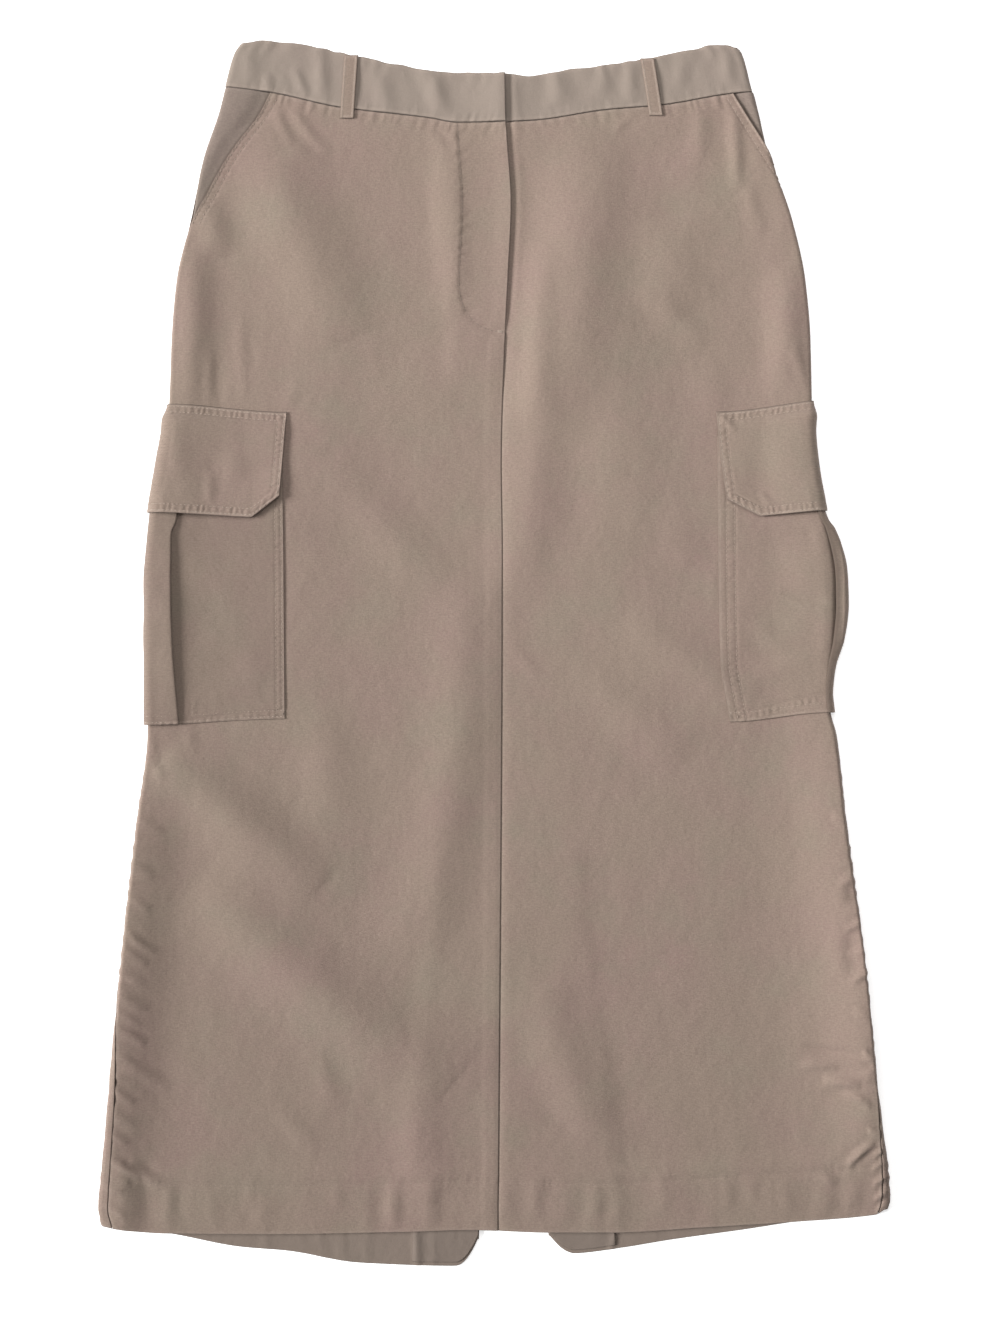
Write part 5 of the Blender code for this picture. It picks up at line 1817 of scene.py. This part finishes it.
@dataclass
class CargoPocket(CargoPiece):
    """A pocket with a box pleat, on the front panel and round the fold onto the back."""

    front: Pucker = Pucker(5.0, 0.58, 0.0, 3.8, 0.9, 0.45)
    lower: Pucker = Pucker(5.0, 0.5, 0.0, 3.6, 2.2, 0.45)
    face: Pucker = Pucker(46.0, 0.35, 60.0, 80.0, 0.6)

    def pleat(self, down: Array) -> Array:
        """q of the pleat's front fold."""
        return self.sizes.strip_edge(down)

    @property
    def level(self) -> float:
        """How far out the middle of the lowest layer's wall lies."""
        return self.tube.pocket_pitch - self.thickness / 2

    def low(self, down: Array) -> Array:
        """The front edge."""
        return self.tube.front_q(self.side, self.sizes.pocket_edge(down), down)

    def bottom(self, x: Array) -> Array:
        """The lower edge."""
        sizes = self.sizes
        edge = sizes.pocket_edge(sizes.pocket_bottom)
        to_fold = ease((x - edge) / (self.tube.fold(self.side, sizes.pocket_bottom) - edge))
        return blend(sizes.pocket_bottom, sizes.pocket_bottom_at_fold, to_fold)

    def rise(self, down: Array) -> Array:
        """How far the pleat's front fold stands up: a blunt arch from the flap to the lower edge."""
        start = self.tube.flap_span[1]
        return self.sizes.strip_rise * blunt_arch((down - start) / (self.sizes.pocket_bottom - start))

    def slid(self, q: Array, down: Array, on_strip: Array) -> Array:
        """q on the tube. Where the strip bulges out, its part near the fold slides to the front."""
        bulging = self.sizes.bulge(down) / 14.0
        near_fold = ease((q + 4.0) / 7.0) * (1 - ease((q - 6.0) / 14.0))
        return q - np.where(on_strip, self.sizes.pleat_slide * bulging * near_fold, 0.0)

    def layer(self, q: Array, down: Array, on_strip: Array) -> tuple[Array, Array]:
        """The middle of the wall at q, on the panel or on the strip over it.

        Args:
            q: distance round the fold.
            down: below the waistband's top.
            on_strip: whether it is the strip's.

        Returns:
            How far out it lies, and how far it is moved sideways.
        """
        tube, sizes = self.tube, self.sizes
        come_down = 1 - Fade(-3.0, 3.0 + tube.arc).at(self.slid(q, down, on_strip))
        beyond = q - self.pleat(down)
        raised = self.rise(down) * (1 - Fade(0.0, 18.0).at(beyond))
        strip = (2 * tube.pocket_pitch + raised) * come_down
        bulge = sizes.bulge(down)
        wave = np.sin(math.pi * np.clip((beyond + 5.3) / 26.0, 0, 1))
        beside = 0.38 * ease((beyond + 40.0) / 38.0)
        x = tube.flat_x(self.side, q, down)
        from_front, from_bottom = q - self.low(down), self.bottom(x) - down
        waves = self.lower.at(q, from_bottom - sizes.ladders[1])
        waves = waves + self.face.at(q + 0.4 * down, from_bottom)
        swell = sizes.panel_swell * groove(beyond + 5.0, 4.5) * np.clip(bulge / 8.0, 0, 1)
        drawn_in = sum(pressed(from_front - inset) for inset in sizes.edge_rows)
        beside_strip = self.front.at(down, from_front - sizes.ladders[0]) + swell - drawn_in
        waves = waves + np.where(on_strip, 0.0, beside_strip)
        for inset in sizes.bottom_rows:
            waves = waves - pressed(from_bottom - inset)
        waves = waves + crease_heights(CARGO_CREASES, x, down)
        on_front = 1 - Fade(-tube.arc, 2 * tube.arc).at(q)
        out = self.level + np.where(on_strip, strip, 0.0) + waves * on_front
        return out, bulge * np.where(on_strip, wave, beside)

    def section(self, down: Array) -> tuple[Array, Array, Array, Array]:
        """The pocket's section at each height, as a line through the middle of its wall.

        It runs from the front edge under the strip, turns back, turns again at the strip's edge,
        and goes over the strip and round the fold to the rear edge.

        Args:
            down: heights, as a column.

        Returns:
            q, out and sideways shift of each point, rows by points, and which points are the strip's.
        """
        tube = self.tube
        radius = tube.pocket_pitch / 2
        turn_in = self.pleat(down) + self.sizes.underfold - radius
        turn_out = self.pleat(down) + radius
        near = turned_edge((14.0, 0.85))
        share = np.concatenate([np.zeros(len(near)), np.linspace(0, 1, 50)[1:]])
        near = np.concatenate([near, np.full(49, near[-1])])
        panel = blend(self.low(down) + near, turn_in, share)
        under = np.radians(np.linspace(-80, 80, 7))
        over = np.radians(np.linspace(-100, -260, 7))
        tail = self.rear - turned_edge((3.0, 1.0))[::-1]
        beyond = np.concatenate([straight(10.5, tail[0] - 1.5, 3.4), tail]) + 0 * down
        count = round((9.0 - float(turn_out.mean())) / 0.9)
        strip = np.hstack([blend(turn_out + 0.6, 9.0, np.linspace(0, 1, count)), beyond])
        panel_out, panel_aside = self.layer(panel, down, np.False_)
        under_out, under_aside = self.layer(turn_in, down, np.False_)
        over_out, over_aside = self.layer(turn_out, down, np.True_)
        strip_out, strip_aside = self.layer(strip, down, np.True_)
        q = [panel, turn_in + radius * np.cos(under), turn_out + radius * np.cos(over), strip]
        out = [panel_out, under_out + radius + radius * np.sin(under)]
        out += [over_out - radius + radius * np.sin(over), strip_out]
        aside = [panel_aside, under_aside + 0 * under, over_aside + 0 * over, strip_aside]
        on_strip = np.repeat([False, True], [panel.shape[1] + len(under), len(over) + strip.shape[1]])
        return np.hstack(q), np.hstack(out), np.hstack(aside), on_strip

    def shape(self) -> tuple[Array, Array, Array, Array, Array]:
        """Outer and inner points, cloth coordinates, distances from the nearest edge, and painted shades.

        Each row of points is the section, with half a wall to each side of it. The pleat's depth gets
        painted shade, and a pocket may get an even painted shade all over.
        """
        tube, sizes = self.tube, self.sizes
        top = tube.pocket_span[0]
        last = sizes.pocket_bottom
        down = self.rows.along(top * np.ones((1, 1)), last)
        q, out, aside, on_strip = self.section(down)
        x = tube.flat_x(self.side, q, down)
        tilted = down + (self.bottom(x) - last) * Fade(0.6, 0.4).at((down - top) / (last - top))
        run, climb = np.gradient(q, axis=1), np.gradient(out, axis=1)
        length = np.hypot(run, climb)
        ends = np.where(on_strip, self.rear - q, q - self.low(down))
        inset = np.maximum(np.minimum(ends, last - down), 0.0)
        half = self.thickness * (0.5 - self.rounding(inset))
        sideways, up = climb / length * half, run / length * half
        place = self.slid(q, down, on_strip)
        outer = tube.point(self.side, place - sideways, tilted, out + up, aside)
        inner = tube.point(self.side, place + sideways, tilted, out - up, aside)
        # Painted shade at the edges, in the pleat's depth, and evenly over the pocket
        panel_shade, strip_shade = sizes.pleat_shade
        in_pleat = np.where(
            on_strip,
            (q - self.pleat(down)) / strip_shade,
            (self.pleat(down) + sizes.underfold - q) / panel_shade,
        )
        shade = np.maximum(self.shade(q, down, inset), 1 - ease(in_pleat))
        shade = np.maximum(shade, sizes.painted_pocket_shade)
        return outer, inner, np.stack([np.cumsum(length, axis=1), tilted], -1), inset, shade

    def surface(self, q: Array, down: Array, above: Array = 0.0) -> Array:
        """Points of the uppermost face: the panel's, and the strip's behind the pleat's fold."""
        on_strip = q > self.pleat(down)
        out, aside = self.layer(q, down, on_strip)
        place = self.slid(q, down, on_strip)
        return self.tube.point(self.side, place, down, out + self.thickness / 2 + above, aside)

    def stitches(self) -> list[StitchRow]:
        """Rows inside the front, lower and rear edges."""
        tube, sizes = self.tube, self.sizes
        rows = []
        upright = straight(tube.flap_span[1] - 12.0, sizes.pocket_bottom - 2.0)
        for inset in sizes.edge_rows:
            rows.append(StitchRow(self.low(upright) + inset, upright))
            rows.append(StitchRow(self.rear - inset + 0 * upright, upright))
        pleat = float(self.pleat(sizes.pocket_bottom))
        for inset in sizes.bottom_rows:
            start = float(self.low(np.float64(sizes.pocket_bottom))) + 1.5
            for run in (straight(start, pleat - 1.5), straight(pleat + 2.0, self.rear - 1.5)):
                down = self.bottom(tube.flat_x(self.side, run, sizes.pocket_bottom)) - inset
                rows.append(StitchRow(run, down))
        return rows


@dataclass
class CargoFlap(CargoPiece):
    """A flap over a pocket's top, with both lower corners cut off."""

    front: Pucker = Pucker(5.0, 0.55, 4.2, 3.8, 1.5, 0.45)
    upper: Pucker = Pucker(4.9, 0.48, 4.2, 3.8, 0.2, 0.45)
    lower: Pucker = Pucker(5.0, 0.5, 4.2, 3.8, 2.9, 0.45)
    face: Pucker = Pucker(31.0, 0.3, 42.0, 50.0, 1.8)
    first_rows: tuple[float, float] = (280.0, 360.0)

    def low(self, down: Array) -> Array:
        """The front edge."""
        return self.tube.front_q(self.side, self.sizes.flap_edge(down), down)

    def high(self, down: Array) -> Array:
        """The rear edge."""
        return self.rear + self.tube.flap_over + 0.0 * down

    def to_fold(self, q: Array) -> Array:
        """0 at the front and rear edges, 1 on the fold."""
        centre = self.tube.pleat_centres[self.side]
        low = self.low(np.float64(self.sizes.flap_top))
        high = self.high(0.0)
        return ease((q - low) / (centre - low)) * ease((high - q) / (high - centre))

    def upper_edge(self, q: Array) -> Array:
        """Distance down of the top edge."""
        return blend(self.sizes.flap_top, self.sizes.flap_top_at_fold, self.to_fold(q))

    def lower_lines(self, q: Array, down: Array) -> tuple[Array, Array, float]:
        """Distances down of the bottom edge and of the cut corners' lines.

        Args:
            q: distance round the fold.
            down: below the waistband's top.

        Returns:
            Both distances, and a step down across a corner's line for each step square to it.
        """
        sizes = self.sizes
        level = blend(sizes.flap_bottom, sizes.flap_bottom_at_fold, self.to_fold(q))
        cut = sizes.flap_bottom - sizes.flap_side_bottom
        slant = math.hypot(cut, sizes.corner_cut) / sizes.corner_cut
        return level, level - cut * (1 - self.from_sides(q, down) / sizes.corner_cut), slant

    def lower_edge(self, q: Array, down: Array, inset: float = 0.0) -> Array:
        """Distance down of the bottom edge or of a line inside it, along the cut corners too."""
        level, corner, slant = self.lower_lines(q, down)
        return np.minimum(level - inset, corner - inset * slant)

    def end_rows(self, q: Array, down: Array) -> tuple[Array, Array]:
        """Distances down of the first and the last row, at each place."""
        return self.upper_edge(q), self.lower_edge(q, down)

    def inset(self, q: Array, down: Array) -> Array:
        """Distance from the nearest edge, square to the cut corners too."""
        level, corner, slant = self.lower_lines(q, down)
        below = np.minimum(level - down, (corner - down) / slant)
        inside = np.minimum(self.from_sides(q, down), below)
        return np.maximum(np.minimum(inside, down - self.upper_edge(q)), 0.0)

    def out(self, q: Array, down: Array) -> Array:
        """Over the pocket and its pleat, with puckers between its rows of stitches."""
        tube, sizes = self.tube, self.sizes
        come_down = 1 - Fade(-3.0, 3.0 + tube.arc).at(q)
        pleat = Fade(-45.0, 47.0).at(q - sizes.strip_edge(sizes.flap_bottom)) * come_down
        below_top = down - self.upper_edge(q)
        covered = Fade(1.0, 12.0).at(below_top)
        under = tube.gap + (tube.pocket_pitch * (1 + 2 * pleat) + 0.3 * come_down) * covered
        from_front, above_low = q - self.low(down), self.lower_edge(q, down) - down
        waves = self.front.at(down, from_front) + self.upper.at(q, below_top)
        waves = waves + self.lower.at(q, above_low) + self.face.at(q + 0.3 * down, below_top)
        waves = waves + sizes.flap_stand * (1 - Fade(0.0, 34.0).at(above_low))
        inset = self.inset(q, down)
        for row in sizes.flap_rows:
            waves = waves - pressed(inset - row)
        waves = waves + crease_heights(CARGO_CREASES, tube.flat_x(self.side, q, down), down)
        return under + self.thickness + waves * (1 - Fade(-2 * tube.arc, 2 * tube.arc).at(q))

    def shade(self, q: Array, down: Array, inset: Array) -> Array:
        """Painted shade along the top edge too, where it is sewn on."""
        at_top = 0.85 * (1 - ease((down - self.upper_edge(q)) / 1.5))
        return np.maximum(super().shade(q, down, inset), at_top)

    def stitches(self) -> list[StitchRow]:
        """Two rows inside all edges."""
        sizes = self.sizes
        rows = []
        low = float(self.low(np.float64(300.0)))
        high = float(self.high(0.0))
        for inset in sizes.flap_rows:
            q = straight(low + inset + 0.5, high - inset - 0.5)
            rows.append(StitchRow(q, self.upper_edge(q) + inset))
            at = np.full_like(q, sizes.flap_bottom)
            rows.append(StitchRow(q, self.lower_edge(q, at, inset)))
            upright = straight(sizes.flap_top + inset + 1.0, sizes.flap_side_bottom - 0.45 * inset)
            rows.append(StitchRow(self.low(upright) + inset, upright))
            rows.append(StitchRow(self.high(upright) - inset, upright))
        return rows


# Belt loops


@dataclass
class BeltLoop(Cloth):
    """A strip from the band's top edge to just below the waist seam.

    Its own coordinates are the distance across it, from its middle, and along it, from its top.
    """

    top_x: float = 0.0
    bottom_x: float = 0.0
    on_back: bool = False
    width: float = 10.6
    below_seam: float = 8.0

    def ends(self, along: Array) -> tuple[Array, Array]:
        """x of the loop's middle at a share of its length, and its distance down."""
        line = self.tube.outline
        middle = blend(self.top_x, self.bottom_x, along)
        start = line.band_top(middle) + 0.5
        return middle, blend(start, line.waist_seam(middle) + self.below_seam, along)

    @property
    def length(self) -> float:
        """Length of the loop."""
        return float(self.ends(np.float64(1.0))[1] - self.ends(np.float64(0.0))[1])

    def surface(self, q: Array, down: Array, above: Array = 0.0) -> Array:
        """Points of the face, from the loop's own coordinates: its edges are a little higher."""
        share = np.clip(down / self.length, 0, 1)
        middle, height = self.ends(share)
        x = middle + q
        ridge = 0.2 * groove(np.abs(q) - 4.2, 0.7)
        arch = 0.8 * np.sin(math.pi * np.clip((share - 0.05) / 0.8, 0, 1))
        arch = arch - 0.2 * Fade(0.75, 0.15).at(share)
        place = (self.tube.back_q if self.on_back else self.tube.front_q)(self.side, x, height)
        relief = 0.0 if self.on_back else ridge + arch
        creases = self.tube.band_creased(self.side, place, height)
        out = 0.8 + self.thickness + relief + creases + above
        return self.tube.point(self.side, place, height, out)

    def shape(self) -> tuple[Array, Array, Array, Array, Array]:
        """Outer and inner points, cloth coordinates, distances from the nearest edge, and painted shades.
        """
        along = self.rows.along(np.zeros((1, 1)), self.length)
        across = self.columns.across(np.full((1, 1), -self.width / 2), self.width / 2)
        across, along = np.broadcast_arrays(across, along)
        inset = np.minimum(self.width / 2 - np.abs(across), np.minimum(along, self.length - along))
        drop = self.rounding(inset) * self.thickness
        outer = self.surface(across, along, -drop)
        inner = self.surface(across, along, drop - self.thickness)
        return outer, inner, np.stack([across, along], -1), inset, self.shade(across, along, inset)

    def stitches(self) -> list[StitchRow]:
        """A row along both edges, and one across the lower end."""
        along = straight(1.5, self.length - 1.5)
        rows = [StitchRow(np.full_like(along, x), along, thread=0.16) for x in (-3.6, 3.6)]
        across = straight(-4.2, 4.2)
        lower = np.full_like(across, self.length - 2.2)
        rows.append(StitchRow(across, lower, length=1.6, space=0.4, thread=0.18))
        return rows


# The skirt


@dataclass
class Skirt:
    """All pieces of the skirt."""

    tube: Tube = field(default_factory=Tube)

    def panels(self, side: Side) -> list[Cloth]:
        """One side's back, facings, front and waistband."""
        word = side.word
        front, back, hip = f"front_panel_{word}", f"back_panel_{word}", f"hip_facing_{word}"
        return [
            BackPanel(
                self.tube,
                side,
                back,
                Lines.turned([(30.0, 3.0)], [(20.0, 2.0), (60.0, 1.8)], 60),
                Lines.turned([(10.0, 2.0)], [(24.0, 2.0), (44.0, 2.5)], 66),
            ),
            VentFacing(
                self.tube,
                side,
                f"vent_facing_{word}",
                Lines.turned([(4.0, 1.5)], [(20.0, 1.6)], 10),
                Lines.turned([(4.0, 1.5)], [(24.0, 1.8)], 70),
                rests_on=(back,),
                slot=Slot.INNER_CLOTH,
                thickness=0.8,
            ),
            HipFacing(
                self.tube,
                side,
                hip,
                Lines.turned([(4.0, 1.5)], [(4.0, 1.5)], 30),
                Lines.turned([(4.0, 1.5)], [(4.0, 1.5)], 50),
                rests_on=(back,),
                slot=Slot.INNER_CLOTH,
            ),
            FrontPanel(
                self.tube,
                side,
                front,
                Lines.turned([(30.0, 2.0), (44.0, 1.0)], [(14.0, 1.0), (44.0, 1.5)], 52),
                Lines.turned([(110.0, 1.4), (180.0, 2.0)], [(34, 2.0), (50, 1.4), (360, 2.0)], 66),
                rests_on=(back, hip),
            ),
            Waistband(
                self.tube,
                side,
                f"waistband_{word}",
                Lines.turned([(30.0, 1.5)], [(6.0, 1.5)], 165),
                Lines.turned([(6.0, 1.2)], [(10.0, 1.2)], 16),
                rests_on=(front, back),
                thickness=2.2,
                edge=1.2,
                faded=0.75,
            ),
        ]

    def cargo(self, side: Side) -> list[Cloth]:
        """One side's cargo pocket and flap."""
        word = side.word
        pocket = f"cargo_pocket_{word}"
        return [
            CargoPocket(
                self.tube,
                side,
                pocket,
                Lines.between(np.zeros(1), np.zeros(1), 0),
                Lines.turned([(4.0, 2.0)], [(10.0, 0.8)], 150),
                rests_on=(f"front_panel_{word}", f"back_panel_{word}"),
            ),
            CargoFlap(
                self.tube,
                side,
                f"cargo_flap_{word}",
                Lines.turned([(108.0, 0.95)], [(9.0, 1.2)], 24),
                Lines.turned([(9.0, 0.85)], [(9.0, 0.85)], 56),
                rests_on=(pocket,),
                thickness=1.4,
                edge=1.0,
                worn=0.8,
            ),
        ]

    def loops(self) -> list[Cloth]:
        """The five belt loops."""
        across = Lines.turned([(2.6, 0.4)], [(2.6, 0.4)], 8)
        along = Lines.turned([(3.0, 0.5)], [(3.0, 0.5)], 34)
        table = (
            ("front_left", Side.LEFT, False, -108.2, -111.5),
            ("front_right", Side.RIGHT, False, 116.5, 123.3),
            ("back_left", Side.LEFT, True, -112.0, -114.0),
            ("back_middle", Side.LEFT, True, 7.0, 7.0),
            ("back_right", Side.RIGHT, True, 118.0, 120.0),
        )
        return [
            BeltLoop(
                self.tube,
                side,
                f"belt_loop_{word}",
                across,
                along,
                rests_on=(f"waistband_{side.word}",) if not on_back else ("floor",),
                thickness=1.2,
                edge=0.8,
                worn=0.8,
                top_x=top_x,
                bottom_x=bottom_x,
                on_back=on_back,
            )
            for word, side, on_back, top_x, bottom_x in table
        ]

    def build(self, finishes: Finishes) -> None:
        """Makes every piece."""
        pieces = [piece for side in Side for piece in (*self.panels(side), *self.cargo(side))]
        for piece in [*pieces, *self.loops()]:
            piece.build(finishes)


# The studio


@dataclass
class Studio:
    """A pale floor, soft light and the camera, in metres."""

    floor_half: float = 4.0
    floor_level: float = -0.0004
    camera_height: float = 2.0
    subject_height: float = 0.006
    frame_centre: tuple[float, float] = (0.0045, -0.0093)
    frame_length: float = 1.01308
    glow: float = 0.6
    sky: float = 0.2
    key: float = 5.0
    key_turn: float = 178.0
    key_elevation: float = 30.0
    key_size: float = 22.0
    lamp: float = 10.8
    lamp_place: tuple[float, float, float] = (0.0, 0.6, 1.3)
    lamp_size: float = 0.9

    def floor(self) -> None:
        """A plain pale floor."""
        half = self.floor_half
        corners = [(-half, -half), (half, -half), (half, half), (-half, half)]
        mesh = bpy.data.meshes.new("floor")
        mesh.from_pydata([(x, y, self.floor_level) for x, y in corners], [], [(0, 1, 2, 3)])
        settings = {
            "Base Color": (0.93, 0.93, 0.93, 1.0),
            "Roughness": 0.9,
            "Specular IOR Level": 0.1,
            "Emission Color": (1.0, 1.0, 1.0, 1.0),
            "Emission Strength": self.glow,
        }
        mesh.materials.append(new_material("white paper", settings)[0])
        new_object("floor", mesh)

    def light(self) -> None:
        """A white surround, a soft key light from the left and a broad lamp beyond the top."""
        world = bpy.data.worlds.new("white surround")
        world.use_nodes = True
        background = world.node_tree.nodes["Background"]
        background.inputs["Color"].default_value = (1.0, 1.0, 1.0, 1.0)
        background.inputs["Strength"].default_value = self.sky
        bpy.context.scene.world = world
        sun = bpy.data.lights.new("key", "SUN")
        sun.energy = self.key
        sun.angle = math.radians(self.key_size)
        tilt = math.radians(90 - self.key_elevation)
        turn = math.radians(self.key_turn) + math.pi / 2
        new_object("key", sun).rotation_euler = (tilt, 0.0, turn)
        area = bpy.data.lights.new("lamp", "AREA")
        area.energy = self.lamp
        area.size = self.lamp_size
        new_object("lamp", area).location = self.lamp_place

    def camera(self) -> None:
        """A camera straight above. With D the distance and L the frame's length, lens = 36 D / L."""
        camera = bpy.data.cameras.new("camera")
        camera.sensor_width = 36.0
        camera.lens = camera.sensor_width * self.camera_height / self.frame_length
        obj = new_object("camera", camera)
        obj.location = (*self.frame_centre, self.subject_height + self.camera_height)
        bpy.context.scene.camera = obj

    def build(self) -> None:
        """Makes all of it, and shows colours as they are."""
        self.floor()
        self.light()
        self.camera()
        view = bpy.context.scene.view_settings
        view.view_transform = "Standard"
        view.look = "None"


def main() -> None:
    """Builds the studio and the skirt."""
    logging.basicConfig(level=logging.INFO, format="%(message)s")
    Studio().build()
    Skirt().build(Finishes.make())


if __name__ == "__main__":
    main()
